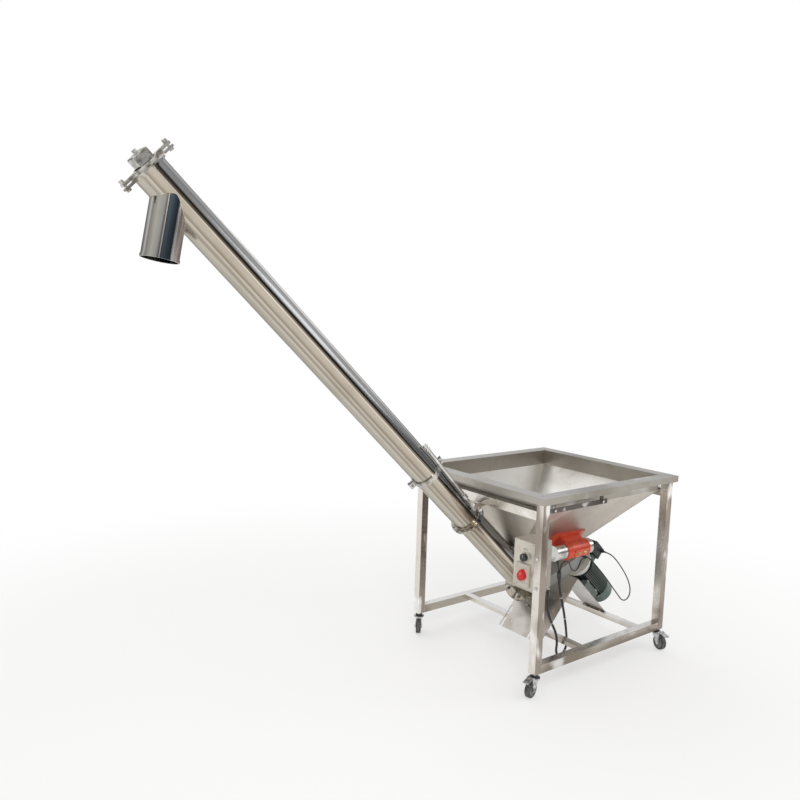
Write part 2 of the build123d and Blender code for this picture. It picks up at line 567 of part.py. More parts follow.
LIP = 5.0
LIP_SIDES = (-40.0, 160.0)
SLOT_X, SLOT_WIDTH, SLOT_TOP = -61.0, 15.0, -118.0
with BuildPart() as motor_plate:
    with BuildSketch(across(PLATE_S)):
        with Locations(((PLATE_LEFT + PLATE_RIGHT) / 2, (PLATE_LOW + PLATE_HIGH) / 2)):
            RectangleRounded(PLATE_RIGHT - PLATE_LEFT, PLATE_HIGH - PLATE_LOW, 8)
        with Locations((SLOT_X, (PLATE_LOW + SLOT_TOP) / 2 - SLOT_WIDTH)):
            SlotOverall(SLOT_TOP - PLATE_LOW + 2 * SLOT_WIDTH, SLOT_WIDTH, rotation=90, mode=Mode.SUBTRACT)
        with Locations((-SLOT_X * 2, PLATE_LOW)):
            SlotOverall(80, SLOT_WIDTH, rotation=90, mode=Mode.SUBTRACT)
        with Locations((-20, -190)):
            Circle(5, mode=Mode.SUBTRACT)
        with Locations(*TIE_POINTS):
            Circle(TIE_ROD_R + HOLE_GAP, mode=Mode.SUBTRACT)
    extrude(amount=PLATE)
    lip_front = FRONT_BEAM_X + BAR / 2
    with BuildSketch(Plane(origin=(0, -LIP_SIDES[0], 0), x_dir=(1, 0, 0), z_dir=(0, -1, 0))):
        Polygon(
            axis_point(PLATE_S, height_on(PLATE_S, BEAM_TOP)), (lip_front, BEAM_TOP),
            (lip_front, BEAM_TOP + LIP), axis_point(PLATE_S, height_on(PLATE_S, BEAM_TOP + LIP)), align=None,
        )
    extrude(amount=LIP_SIDES[1] - LIP_SIDES[0])
keep("motor_plate", motor_plate)

BASE_LOW = PLATE_HIGH - BASE_THICK
BASE_END = place_on(BASE_LOW, BEAM_TOP)
FOOT_PAD_S, FOOT_PAD_END, FOOT_PAD_WIDTH, FOOT_PAD_TOP = -150.0, -30.0, 134.0, 183.0
MOTOR_BOLT_X, MOTOR_BOLT_SS = 56.0, (-135.0, -45.0)
MOTOR_BOLTS = [(s, MOTOR_X + side * MOTOR_BOLT_X) for s in MOTOR_BOLT_SS for side in (-1, 1)]
COWL_LUG, LUG_END = 12.0, FIN_R - SHEET - 0.8
FIN_START, FIN_SWEEP = -28.0, 236.0
with BuildPart() as motor_base:
    width = PLATE_RIGHT - BASE_LEFT
    block(across(BASE_END, BASE_LEFT + width / 2, BASE_LOW + BASE_THICK / 2), width, BASE_THICK, PLATE_S - BASE_END)
    rear = REAR_BEAM_X - BAR / 2
    with BuildSketch(Plane(origin=(0, -BASE_LEFT, 0), x_dir=(1, 0, 0), z_dir=(0, -1, 0))):
        Polygon(
            (rear, BEAM_TOP), axis_point(BASE_END, BASE_LOW),
            axis_point(place_on(BASE_LOW, BEAM_TOP + LIP), BASE_LOW), (rear, BEAM_TOP + LIP), align=None,
        )
    extrude(amount=width)
    for s, x in MOTOR_BOLTS:
        rod(along(s, x, PLATE_HIGH), BOLT_R + HOLE_GAP, -BASE_THICK, Mode.SUBTRACT)
keep("motor_base", motor_base)

with BuildPart() as gearhead:
    flange_s = GEARHEAD_S + 30
    rod(across(flange_s, MOTOR_X, MOTOR_H), GEARHEAD_FLANGE_R, GEARHEAD_FLANGE)
    rod(across(GEARHEAD_S, MOTOR_X, MOTOR_H), GEARHEAD_R, flange_s - GEARHEAD_S)
    rod(across(GEARHEAD_S, MOTOR_X, MOTOR_H), GEARHEAD_R - 8, flange_s - GEARHEAD_S - 8, Mode.SUBTRACT)
    rod(across(GEARHEAD_S, MOTOR_X, MOTOR_H), OUT_SHAFT_R + RUN_GAP, CASE_S - GEARHEAD_S, Mode.SUBTRACT)
keep("gearhead", gearhead)

with BuildPart() as motor_body:
    rod(across(MOTOR_S, MOTOR_X, MOTOR_H), MOTOR_R, GEARHEAD_S - MOTOR_S)
    with BuildSketch(across(COWL_S, MOTOR_X, MOTOR_H)):
        with PolarLocations((MOTOR_R + FIN_R) / 2, FIN_COUNT, start_angle=FIN_START, angular_range=FIN_SWEEP):
            Rectangle(FIN_R - MOTOR_R + 2, FIN_THICK)
    extrude(amount=GEARHEAD_S - COWL_S - 6)
    with BuildSketch(across(MOTOR_S, MOTOR_X, MOTOR_H)):
        with PolarLocations((MOTOR_R + LUG_END) / 2, 4, start_angle=45):
            Rectangle(LUG_END - MOTOR_R + 1, COWL_LUG)
    extrude(amount=COWL_S - MOTOR_S)
    pad_middle = (PLATE_HIGH + FOOT_PAD_TOP) / 2
    block(across(FOOT_PAD_S, MOTOR_X, pad_middle), FOOT_PAD_WIDTH, FOOT_PAD_TOP - PLATE_HIGH, FOOT_PAD_END - FOOT_PAD_S)
    neck_h = (MOTOR_H + TERMINAL_LOW) / 2
    block(across(TERMINAL_S + 5, MOTOR_X, neck_h), 60, TERMINAL_LOW - MOTOR_H, -TERMINAL_S - 8)
    inside_s = MOTOR_S + MOTOR_END
    rod(across(inside_s, MOTOR_X, MOTOR_H), MOTOR_BORE_R, GEARHEAD_S - MOTOR_END - inside_s, Mode.SUBTRACT)
    rod(across(MOTOR_S, MOTOR_X, MOTOR_H), ROTOR_SHAFT_R + RUN_GAP, GEARHEAD_S - MOTOR_S, Mode.SUBTRACT)
    for s, x in MOTOR_BOLTS:
        rod(along(s, x, FOOT_PAD_TOP), BOLT_R + HOLE_GAP, PLATE_HIGH - FOOT_PAD_TOP, Mode.SUBTRACT)
keep("motor_body", motor_body)

ROTOR_CORE_S, ROTOR_CORE_END, FAN_S, FAN_END, FAN_R = -170.0, -15.0, -240.0, -215.0, 50.0
with BuildPart() as motor_rotor:
    rod(across(FAN_S - 3, MOTOR_X, MOTOR_H), ROTOR_SHAFT_R, GEARHEAD_S + 2 - FAN_S + 3)
    rod(across(ROTOR_CORE_S, MOTOR_X, MOTOR_H), MOTOR_BORE_R - 0.8, ROTOR_CORE_END - ROTOR_CORE_S)
    rod(across(FAN_END, MOTOR_X, MOTOR_H), FAN_R, -3)
    with BuildSketch(across(FAN_S, MOTOR_X, MOTOR_H)):
        with PolarLocations((FAN_R + ROTOR_SHAFT_R) / 2, 8):
            Rectangle(FAN_R - ROTOR_SHAFT_R, 3)
        Circle(ROTOR_SHAFT_R + 6)
    extrude(amount=FAN_END - FAN_S)
keep("motor_rotor", motor_rotor)


def dome(radius, start, length, round_edge):
    """Cylinder below the plane across the motor at start, with its far edge rounded."""
    with BuildPart() as body:
        rod(across(start, MOTOR_X, MOTOR_H), radius, -length)
        end = body.faces().sort_by(Axis(tuple(FOOT), tuple(AXIS)))[0]
        fillet(end.edges(), round_edge)
    return body.part


cowl_outside = dome(FIN_R, COWL_S, COWL_S - COWL_END_S, COWL_ROUND)
cowl_inside = dome(FIN_R - SHEET, COWL_S, COWL_S - COWL_END_S - SHEET, COWL_ROUND - SHEET)
with BuildPart() as fan_cowl:
    add(cowl_outside)
    add(cowl_inside, mode=Mode.SUBTRACT)
    with BuildSketch(across(COWL_END_S, MOTOR_X, MOTOR_H)):
        for reach, count in ((16, 6), (28, 12), (40, 18)):
            with PolarLocations(reach, count):
                Circle(3.5)
    extrude(amount=2 * SHEET, mode=Mode.SUBTRACT)
keep("fan_cowl", fan_cowl)

GLAND_S, GLAND_H, GLAND_R, GLAND_LENGTH = -30.0, 362.0, 9.0, 12.0
CABLE_R = 3.0


def side_plane(s, x, h):
    """Plane that faces the control side; its local x runs downhill."""
    return Plane(origin=at(s, x, h), x_dir=AXIS * -1, z_dir=SIDE)


with BuildPart() as terminal_box:
    box_length = TERMINAL_END_S - TERMINAL_S
    middle = along((TERMINAL_S + TERMINAL_END_S) / 2, MOTOR_X, TERMINAL_LOW)
    with BuildSketch(middle):
        RectangleRounded(box_length, 2 * TERMINAL_HALF, 6)
    extrude(amount=TERMINAL_HIGH - TERMINAL_LOW)
    with BuildSketch(middle.offset(SHEET)):
        RectangleRounded(box_length - 2 * SHEET, 2 * TERMINAL_HALF - 2 * SHEET, 4)
    extrude(amount=TERMINAL_HIGH - TERMINAL_LOW - 2 * SHEET, mode=Mode.SUBTRACT)
    rod(side_plane(GLAND_S, MOTOR_X + TERMINAL_HALF - 1, GLAND_H), GLAND_R, GLAND_LENGTH + 1)
keep("terminal_box", terminal_box)


# ------------------------------------------------------------------ vibrator
def vib_plane(x):
    """Plane across the vibrator's shaft, facing +X."""
    return along_x(x, VIB[1], VIB[2])


WALL_TILT = 52.6        # slope of the hopper wall that carries the vibrator
WALL_OUT = Vector(0, -sin(radians(WALL_TILT)), -cos(radians(WALL_TILT)))
VIB_FOOT = Plane(origin=VIB, x_dir=(1, 0, 0), z_dir=WALL_OUT * -1)
FOOT_BLOCK, FOOT_BLOCK_WIDTH, BACKING, BACKING_LENGTH, BACKING_WIDTH = 62.0, 70.0, 8.0, 190.0, 110.0
FOOT_SHIFT = (VIB_BACK + VIB_FRONT) / 2 - VIB[0]
VIB_REACH = 55.0
with BuildPart() as vibrator_body:
    with BuildSketch(VIB_FOOT):
        with Locations((FOOT_SHIFT, 0)):
            Rectangle(VIB_FRONT - VIB_BACK - 30, FOOT_BLOCK_WIDTH)
    extrude(amount=VIB_REACH + BACKING)
    with BuildSketch(VIB_FOOT.offset(VIB_REACH)):
        with Locations((FOOT_SHIFT, 0)):
            Rectangle(BACKING_LENGTH, BACKING_WIDTH)
    extrude(amount=40)
    add(funnel_outside, mode=Mode.SUBTRACT)
    rod(vib_plane(VIB_BACK), VIB_R, VIB_FRONT - VIB_BACK)
    rod(vib_plane(VIB_BACK + 6), VIB_R - VIB_WALL, VIB_FRONT - VIB_BACK - 12, Mode.SUBTRACT)
    rod(vib_plane(VIB_BACK), VIB_SHAFT_R + RUN_GAP, VIB_FRONT - VIB_BACK, Mode.SUBTRACT)
keep("vibrator_body", vibrator_body)

with BuildPart() as vibrator_caps:
    rod(vib_plane(VIB_BACK), VIB_CAP_R, VIB_CAP_END - VIB_BACK)
    rod(vib_plane(VIB_BACK), VIB_CAP_R - SHEET, VIB_CAP_END - VIB_BACK + SHEET, Mode.SUBTRACT)
    rod(vib_plane(VIB_FRONT), VIB_CAP_R, VIB_REAR_END - VIB_FRONT)
    rod(vib_plane(VIB_FRONT), VIB_CAP_R - SHEET, VIB_REAR_END - VIB_FRONT - SHEET, Mode.SUBTRACT)
keep("vibrator_caps", vibrator_caps)

with BuildPart() as vibrator_rotor:
    rod(vib_plane(VIB_CAP_END + 12), VIB_SHAFT_R, VIB_REAR_END - VIB_CAP_END - 20)
    rod(vib_plane(VIB_BACK + 20), VIB_R - VIB_WALL - 3, VIB_FRONT - VIB_BACK - 40)
    for weight_x in (VIB_CAP_END + 30, VIB_FRONT + 8):
        with BuildSketch(vib_plane(weight_x)) as weight:
            Circle(VIB_WEIGHT_R)
            with Locations((0, VIB_WEIGHT_R / 2 + VIB_SHAFT_R / 2)):
                Rectangle(2 * VIB_WEIGHT_R, VIB_WEIGHT_R, mode=Mode.SUBTRACT)
        extrude(weight.sketch, amount=12)
keep("vibrator_rotor", vibrator_rotor)

# ------------------------------------------------------------------ control box
BOX_FACE_X = -FRAME_X / 2
BOX_Y = -FRAME_Y / 2 + BAR + BOX_WIDTH / 2
BOX_MIDDLE_Z = (BOX_Z + BOX_TOP) / 2
BRACKET = 3.0
BRACKET_Z, BRACKET_TOP = 475.0, 650.0
with BuildPart() as control_box:
    block(along_x(BOX_FACE_X + SHEET, BOX_Y, BOX_MIDDLE_Z), BOX_WIDTH, BOX_TOP - BOX_Z, BOX_DEPTH - SHEET)
    inner_height = BOX_TOP - BOX_Z - 2 * BOX_WALL
    inner_width = BOX_WIDTH - 2 * BOX_WALL
    block(
        along_x(BOX_FACE_X + SHEET, BOX_Y, BOX_MIDDLE_Z), inner_width, inner_height,
        BOX_DEPTH - SHEET - BOX_WALL, Mode.SUBTRACT,
    )
    leg_back, leg_inner = BOX_FACE_X + BAR, -FRAME_Y / 2 + BAR
    bracket_height = BRACKET_TOP - BRACKET_Z
    block(
        along_x(leg_back, leg_inner - BAR / 2, BRACKET_Z + bracket_height / 2), BAR, bracket_height, BRACKET,
    )
    block(
        along_x(leg_back, leg_inner - BRACKET / 2, BRACKET_Z + bracket_height / 2), BRACKET, bracket_height,
        BOX_FACE_X + BOX_DEPTH - leg_back,
    )
    for bolt_z in LEG_BOLT_ZS:
        rod(along_x(leg_back, leg_inner - BAR / 2, bolt_z), BOLT_R + HOLE_GAP, BRACKET, Mode.SUBTRACT)
keep("control_box", control_box)

with BuildPart() as control_panel:
    block(along_x(BOX_FACE_X, BOX_Y, BOX_MIDDLE_Z), BOX_WIDTH, BOX_TOP - BOX_Z, SHEET)
    for knob_z in (KNOB_Z, ISOLATOR_Z):
        rod(along_x(BOX_FACE_X, KNOB_Y, knob_z), KNOB_SHAFT_R + RUN_GAP, SHEET, Mode.SUBTRACT)
keep("control_panel", control_panel)

DRIVE_WIDTH, DRIVE_HEIGHT, DRIVE_DEPTH = 90.0, 150.0, 60.0
with BuildPart() as speed_drive:
    drive_x = BOX_FACE_X + BOX_DEPTH - BOX_WALL - DRIVE_DEPTH
    block(along_x(drive_x, BOX_Y, BOX_MIDDLE_Z), DRIVE_WIDTH, DRIVE_HEIGHT, DRIVE_DEPTH)
keep("speed_drive", speed_drive)

with BuildPart() as switch_plate:
    with BuildSketch(along_x(BOX_FACE_X, BOX_Y, ISOLATOR_Z)):
        RectangleRounded(SWITCH_WIDTH, SWITCH_HEIGHT, 6)
    extrude(amount=-SWITCH_THICK)
    rod(along_x(BOX_FACE_X, KNOB_Y, ISOLATOR_Z), KNOB_SHAFT_R + RUN_GAP, -SWITCH_THICK, Mode.SUBTRACT)
keep("switch_plate", switch_plate)

SPEED_KNOB_R, SPEED_KNOB, ISOLATOR_R, ISOLATOR_TIP, ISOLATOR_DEPTH = 17.0, 18.0, 20.0, 30.0, 20.0
KNOB_SHAFT = 30.0
with BuildPart() as speed_knob:
    knob_face = BOX_FACE_X - FACE_GAP
    rod(along_x(knob_face, KNOB_Y, KNOB_Z), SPEED_KNOB_R, -SPEED_KNOB)
    rod(along_x(knob_face, KNOB_Y, KNOB_Z), KNOB_SHAFT_R, KNOB_SHAFT)
    with BuildSketch(along_x(knob_face - SPEED_KNOB, KNOB_Y, KNOB_Z)):
        with PolarLocations(SPEED_KNOB_R + 1.5, 12):
            Circle(2.5)
    extrude(amount=SPEED_KNOB, mode=Mode.SUBTRACT)
keep("speed_knob", speed_knob)

with BuildPart() as isolator_knob:
    knob_face = BOX_FACE_X - SWITCH_THICK - FACE_GAP
    with BuildSketch(along_x(knob_face, KNOB_Y, ISOLATOR_Z)):
        Circle(ISOLATOR_R)
        with Locations((0, ISOLATOR_TIP - 6)):
            Circle(6)
        make_hull()
    extrude(amount=-ISOLATOR_DEPTH)
    rod(along_x(knob_face, KNOB_Y, ISOLATOR_Z), KNOB_SHAFT_R, KNOB_SHAFT)
keep("isolator_knob", isolator_knob)

# ------------------------------------------------------------------ casters
STEM_HEAD_R, STEM_HEAD, FORK_R = 11.0, 4.0, 26.0
with BuildPart() as caster_stems:
    for side_x, side_y, _yaw, _braked in CASTERS.values():
        x, y = side_x * LEG_X, side_y * LEG_Y
        rod(upright(x, y, FORK_Z - FACE_GAP - STEM_HEAD), STEM_HEAD_R, STEM_HEAD)
        rod(upright(x, y, FORK_Z - FACE_GAP - STEM_HEAD), STEM_R, CASTER_HEIGHT + BAR - FORK_Z)
        collar_z = FORK_Z + FORK_THICK + FACE_GAP
        rod(upright(x, y, collar_z), COLLAR_R, CASTER_HEIGHT - collar_z)
keep("caster_stems", caster_stems)


def cheek_plane(x, y, yaw, offset):
    """Upright plane beside a wheel; its local x trails from the swivel and its local y is up."""
    ahead = Vector(cos(radians(yaw)), sin(radians(yaw)))
    aside = Vector(-sin(radians(yaw)), cos(radians(yaw)))
    origin = Vector(x, y) + aside * offset
    return Plane(origin=origin, x_dir=ahead, z_dir=aside * -1)


CHEEK, WHEEL_HUB, HUB_R = 3.0, 27.4, 12.0


def fork(name, x, y, yaw, braked):
    """Swivelling fork with its axle and, where it is braked, the pedal's ears and pin."""
    with BuildPart() as body:
        rod(upright(x, y, FORK_Z), FORK_R, FORK_THICK)
        for offset in (FORK_INSIDE + CHEEK, -FORK_INSIDE):
            with BuildSketch(cheek_plane(x, y, yaw, offset)) as cheek:
                Polygon(
                    (-16, FORK_Z + FORK_THICK), (FORK_R - 4, FORK_Z + FORK_THICK),
                    (TRAIL + 11, WHEEL_R + 3), (TRAIL - 9, WHEEL_R - 6), align=None,
                )
                with Locations((TRAIL, WHEEL_R)):
                    Circle(11)
                if braked:
                    Polygon(
                        (FORK_R - 22, FORK_Z), (PEDAL_X - 6, PEDAL_Z), (PEDAL_X + 6, PEDAL_Z),
                        (TRAIL + 11, WHEEL_R + 3), align=None,
                    )
                    with Locations((PEDAL_X, PEDAL_Z)):
                        Circle(6)
            extrude(cheek.sketch, amount=CHEEK)
        rod(upright(x, y, FORK_Z + FORK_THICK), COLLAR_R + 3, 10, Mode.SUBTRACT)
        rod(upright(x, y, FORK_Z), STEM_R + RUN_GAP, FORK_THICK, Mode.SUBTRACT)
        axle_half = FORK_INSIDE + CHEEK + 3
        axle = cheek_plane(x, y, yaw, axle_half)
        centre = axle.from_local_coords((TRAIL, WHEEL_R, 0))
        turned = Plane(origin=centre, x_dir=axle.x_dir, z_dir=axle.z_dir)
        rod(turned, AXLE_R, 2 * axle_half)
        rod(turned, 7, 3)
        rod(turned.offset(2 * axle_half - 3), 7, 3)
        if braked:
            pin = axle.from_local_coords((PEDAL_X, PEDAL_Z, 3))
            rod(Plane(origin=pin, x_dir=axle.x_dir, z_dir=axle.z_dir), PEDAL_PIN_R, 2 * axle_half - 6)
    keep(name, body)


def wheel(name, x, y, yaw):
    """Wheel with a rounded tread, a dished side and a hub on the axle."""
    with BuildPart() as body:
        side = cheek_plane(x, y, yaw, WHEEL_WIDTH / 2)
        centre = side.from_local_coords((TRAIL, WHEEL_R, 0))
        face = Plane(origin=centre, x_dir=side.x_dir, z_dir=side.z_dir)
        rod(face, WHEEL_R, WHEEL_WIDTH)
        fillet(body.edges().filter_by(GeomType.CIRCLE), 5)
        for start, depth in ((face, 4), (face.offset(WHEEL_WIDTH), -4)):
            with BuildSketch(start) as dish:
                Circle(27)
                Circle(HUB_R, mode=Mode.SUBTRACT)
            extrude(dish.sketch, amount=depth, mode=Mode.SUBTRACT)
        rod(face.offset((WHEEL_WIDTH - WHEEL_HUB) / 2), HUB_R, WHEEL_HUB)
        rod(face.offset(-WHEEL_WIDTH), AXLE_R + RUN_GAP, 3 * WHEEL_WIDTH, Mode.SUBTRACT)
    keep(name, body)


PEDAL_HALF, PEDAL_REACH, PEDAL_DROP = 13.4, 82.0, 6.0


def pedal(name, x, y, yaw):
    """Brake pedal on its pin above the wheel."""
    with BuildPart() as body:
        with BuildSketch(cheek_plane(x, y, yaw, PEDAL_HALF)) as profile:
            with Locations((PEDAL_X, PEDAL_Z)):
                Circle(5.5)
            Polygon(
                (PEDAL_X, PEDAL_Z + 5), (PEDAL_REACH, PEDAL_Z + 3 - PEDAL_DROP),
                (PEDAL_REACH, PEDAL_Z - 1 - PEDAL_DROP), (PEDAL_X, PEDAL_Z + 1), align=None,
            )
            with Locations((PEDAL_X, PEDAL_Z)):
                Circle(PEDAL_PIN_R + RUN_GAP, mode=Mode.SUBTRACT)
        extrude(profile.sketch, amount=2 * PEDAL_HALF)
    keep(name, body)


for corner, (side_x, side_y, yaw, braked) in CASTERS.items():
    fork(f"fork_{corner}", side_x * LEG_X, side_y * LEG_Y, yaw, braked)
    wheel(f"wheel_{corner}", side_x * LEG_X, side_y * LEG_Y, yaw)
    if braked:
        pedal(f"pedal_{corner}", side_x * LEG_X, side_y * LEG_Y, yaw)

# ------------------------------------------------------------------ cords
HOSE_R = 6.0
HOSE_START = (-312.0, -331.0, 588.0)
HOSE_END = (-131.0, -249.0, 425.0)
HOSE_ROUTE = [
    HOSE_START, (-314, -338, 525), (-307, -340, 452), (-309, -336, 378), (-286, -327, 306), (-240, -314, 243),
    (-196, -302, 188), (-169, -291, 130), (-166, -283, 76), (-131, -272, 39), (-80, -258, 37),
    (-43, -246, 70), (-42, -238, 128), (-54, -236, 190), (-78, -241, 258), (-108, -248, 325),
    (-127, -250, 376), HOSE_END,
]
BOOT_LENGTH, BOOT_R, BOOT_SPREAD = 32.0, 10.0, 5.0
HOSE_EXIT = (Vector(*HOSE_END) - Vector(*HOSE_ROUTE[-2])).normalized()
BOOT_FACE = Plane(origin=Vector(*HOSE_END) + HOSE_EXIT * BOOT_LENGTH, x_dir=(1, 0, 0), z_dir=HOSE_EXIT)
GLAND_END = at(GLAND_S, MOTOR_X + TERMINAL_HALF + GLAND_LENGTH, GLAND_H)
MOTOR_CABLE_ROUTE = [
    tuple(BOOT_FACE.from_local_coords((BOOT_SPREAD, 0, 0))), (-122, -247, 486), (-92, -242, 498),
    (-58, -236, 492), (-34, -230, 468), (-16, -225, 440), (14, -219, 423), (44, -214, 428), (62, -210, 447),
    (77, -206, 467), (98, -204, 476), (126, -206, 474), (152, -216, 452),
    (190, -224, 412), (241, -234, 358), (296, -243, 292), (340, -248, 244), (366, -250, 214), (400, -252, 204),
    (430, -252, 222), (436, -252, 258), (418, -252, 302), (386, -251, 350), (346, -250, 396),
    (312, -249, 432), (284, -243, 460), (GLAND_END.X, -222, GLAND_END.Z),
    (GLAND_END.X, GLAND_END.Y, GLAND_END.Z),
]
VIB_GLAND_X = -141.0
VIB_CABLE_END = (VIB_GLAND_X, VIB[1], VIB[2] - VIB_CAP_R - 8.0)
VIB_CABLE_ROUTE = [tuple(BOOT_FACE.from_local_coords((-BOOT_SPREAD, 0, 0))), (-141, -250, 480), VIB_CABLE_END]


def bend_radii(route, share=0.45):
    """Largest tangent-arc radius at each corner of a route."""
    radii = []
    points = [Vector(*point) for point in route]
    for before, corner, after in zip(points, points[1:], points[2:]):
        turn = (corner - before).get_angle(after - corner)
        shorter = min((corner - before).length, (after - corner).length)
        radii.append(share * shorter / tan(radians(turn / 2)))
    return radii


def cord(name, route, radius):
    """Round tube along straight runs joined by tangent arcs."""
    radii = bend_radii(route)
    print(name, "smallest bend radius", round(min(radii), 1), "turns", [round(value) for value in radii])
    with BuildPart() as tube:
        with BuildLine() as path:
            FilletPolyline(*route, radius=radii)
        with BuildSketch(Plane(origin=path.line @ 0, z_dir=path.line % 0)):
            Circle(radius)
        sweep()
    length = sum(edge.length for edge in path.line.edges())
    ratio = tube.part.volume / (pi * radius**2 * length)
    print(name, "length", round(length, 1), "volume ratio", round(ratio, 4))
    keep(name, tube)


cord("conduit", HOSE_ROUTE, HOSE_R)
cord("motor_cable", MOTOR_CABLE_ROUTE, CABLE_R)
cord("vibrator_cable", VIB_CABLE_ROUTE, CABLE_R)


def toward(start, target):
    """Plane at start that faces target."""
    direction = Vector(*target) - Vector(*start)
    return Plane(origin=start, z_dir=direction.normalized())


# ------------------------------------------------------------------ clips, glands and fasteners
ELBOW_R, ELBOW_NUT_R = 9.0, 12.0
CLIP_POINT = Vector(112, -205, 475)
CLIP_WALL, CLIP_HALF = 4.0, 4.0
with BuildPart() as cable_clips:
    elbow_z = HOSE_START[2] + 22
    rod(along_x(BOX_FACE_X + BOX_DEPTH, HOSE_START[1], elbow_z), ELBOW_NUT_R, 10)
    rod(along_x(BOX_FACE_X + BOX_DEPTH, HOSE_START[1], elbow_z), ELBOW_R, HOSE_START[0] + ELBOW_R - BOX_FACE_X - BOX_DEPTH)
    rod(toward(HOSE_START, HOSE_ROUTE[1]), ELBOW_R, -24)
    rod(BOOT_FACE, BOOT_R, -BOOT_LENGTH)
    last_run = Vector(*VIB_CABLE_END) - Vector(*VIB_CABLE_ROUTE[-2])
    rod(Plane(origin=VIB_CABLE_END, z_dir=last_run.normalized()), GLAND_R, GLAND_LENGTH)
    rod(vib_plane(VIB_CAP_END), VIB_CAP_R, VIB_BACK - VIB_CAP_END, Mode.SUBTRACT)
    clip_s, clip_h = CLIP_POINT.dot(AXIS) - FOOT.dot(AXIS), CLIP_POINT.dot(UP) - FOOT.dot(UP)
    case_x = MOTOR_X + sqrt(CASE_R**2 - (clip_h - MOTOR_H) ** 2)
    clip_x = -CLIP_POINT.Y - CABLE_R - CLIP_WALL
    block(side_plane(clip_s, case_x - 5, clip_h), 2 * CLIP_HALF, CLIP_HALF, clip_x - case_x + 6)
    rod(across(CASE_S, MOTOR_X, MOTOR_H), CASE_R, CASE_END_S - CASE_S, Mode.SUBTRACT)
    rod(along_x(CLIP_POINT.X - CLIP_HALF, CLIP_POINT.Y, CLIP_POINT.Z), CABLE_R + CLIP_WALL, 2 * CLIP_HALF)
    rod(along_x(CLIP_POINT.X - 2 * CLIP_HALF, CLIP_POINT.Y, CLIP_POINT.Z), CABLE_R + 1, 4 * CLIP_HALF, Mode.SUBTRACT)
keep("cable_clips", cable_clips)

with BuildPart() as hex_bolts:
    for side_x in (-1, 1):
        for side_y in (-1, 1):
            countersink(side_x * LEG_X, side_y * LEG_Y)
            rod(upright(side_x * LEG_X, side_y * LEG_Y, LEG_TOP + SHEET), RIM_SCREW, -RIM_SCREW_LENGTH)
    for bolt_z in LEG_BOLT_ZS:
        leg_face = Plane(origin=(BOX_FACE_X, leg_inner - BAR / 2, bolt_z), x_dir=(0, 1, 0), z_dir=(-1, 0, 0))
        bolt(leg_face, BOLT_R, BAR + BRACKET, 8, 4)
    for s, x in MOTOR_BOLTS:
        bolt(along(s, x, FOOT_PAD_TOP), BOLT_R, FOOT_PAD_TOP - BASE_LOW, 8, 5)
    nut(across(BLOCK_S + HEAD_BLOCK_LENGTH), 9, 14)
    for beam_x, bolt_ys in ((FRONT_BEAM_X + 8, (-130.0, 20.0)), (REAR_BEAM_X - 15, (-180.0, -82.0))):
        for bolt_y in bolt_ys:
            nut(upright(beam_x, bolt_y, BEAM_TOP + LIP), 5.5, 5)
    for angle in range(0, 360, 360 // RING_BOLTS):
        reach = (RING_BOLT_REACH * cos(radians(angle)), RING_BOLT_REACH * sin(radians(angle)))
        bolt(across(JOINT_S + JOINT_RING, *reach), RING_BOLT_R, 2 * JOINT_RING, 5.5, 4)
        nut(across(JOINT_S - JOINT_RING, *reach), 5.5, -4)
    for hanger_x in HANGER_XS:
        hanger_face = Plane(origin=(hanger_x, -FRAME_Y / 2, SIDE_BAR_Z + SIDE_BAR_HEIGHT / 2), z_dir=(0, -1, 0))
        nut(hanger_face, 7, 5)
    for side in (-1, 1):
        turn = radians(CLAMP_TURN + 90 - 90 * side)
        reach = (LUG_REACH * sin(turn), LUG_REACH * cos(turn))
        clamp_bolt = Plane(
            origin=at(CLAMP_S, *reach), x_dir=AXIS, z_dir=SIDE * cos(turn) - UP * sin(turn),
        )
        rod(clamp_bolt.offset(-CLAMP_BOLT / 2), 4, CLAMP_BOLT)
        nut(clamp_bolt.offset(LUG_WIDTH / 2), 7, 6)
        nut(clamp_bolt.offset(-LUG_WIDTH / 2), 7, -6)
keep("hex_bolts", hex_bolts)

# ------------------------------------------------------------------ origin and export
CORDS = ("conduit", "motor_cable", "vibrator_cable")
boxes = [piece.bounding_box() for name, piece in pieces.items() if name not in CORDS]
low = Vector(*(min(getattr(box.min, axis) for box in boxes) for axis in "XYZ"))
high = Vector(*(max(getattr(box.max, axis) for box in boxes) for axis in "XYZ"))
SHIFT = Vector(-(low.X + high.X) / 2, -(low.Y + high.Y) / 2, -low.Z)
print("size", high - low, "shift", SHIFT)
for name, piece in pieces.items():
    moved = piece.moved(Location(SHIFT))
    moved.label = name
    export_step(moved, f"parts/{name}.step")
print(len(pieces), "pieces")
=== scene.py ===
"""Looks of a mobile grain auger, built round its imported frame.

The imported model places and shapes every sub-part.  This script lays the three cords, lights the machine,
gives each sub-part its finish and adds the small work that a bare model lacks: weld beads, corrugations,
dial marks, screws and trim.
"""

from __future__ import annotations

import json
import logging
import math
from dataclasses import dataclass, field
from enum import Enum

import bmesh
import bpy
from mathutils import Matrix, Vector

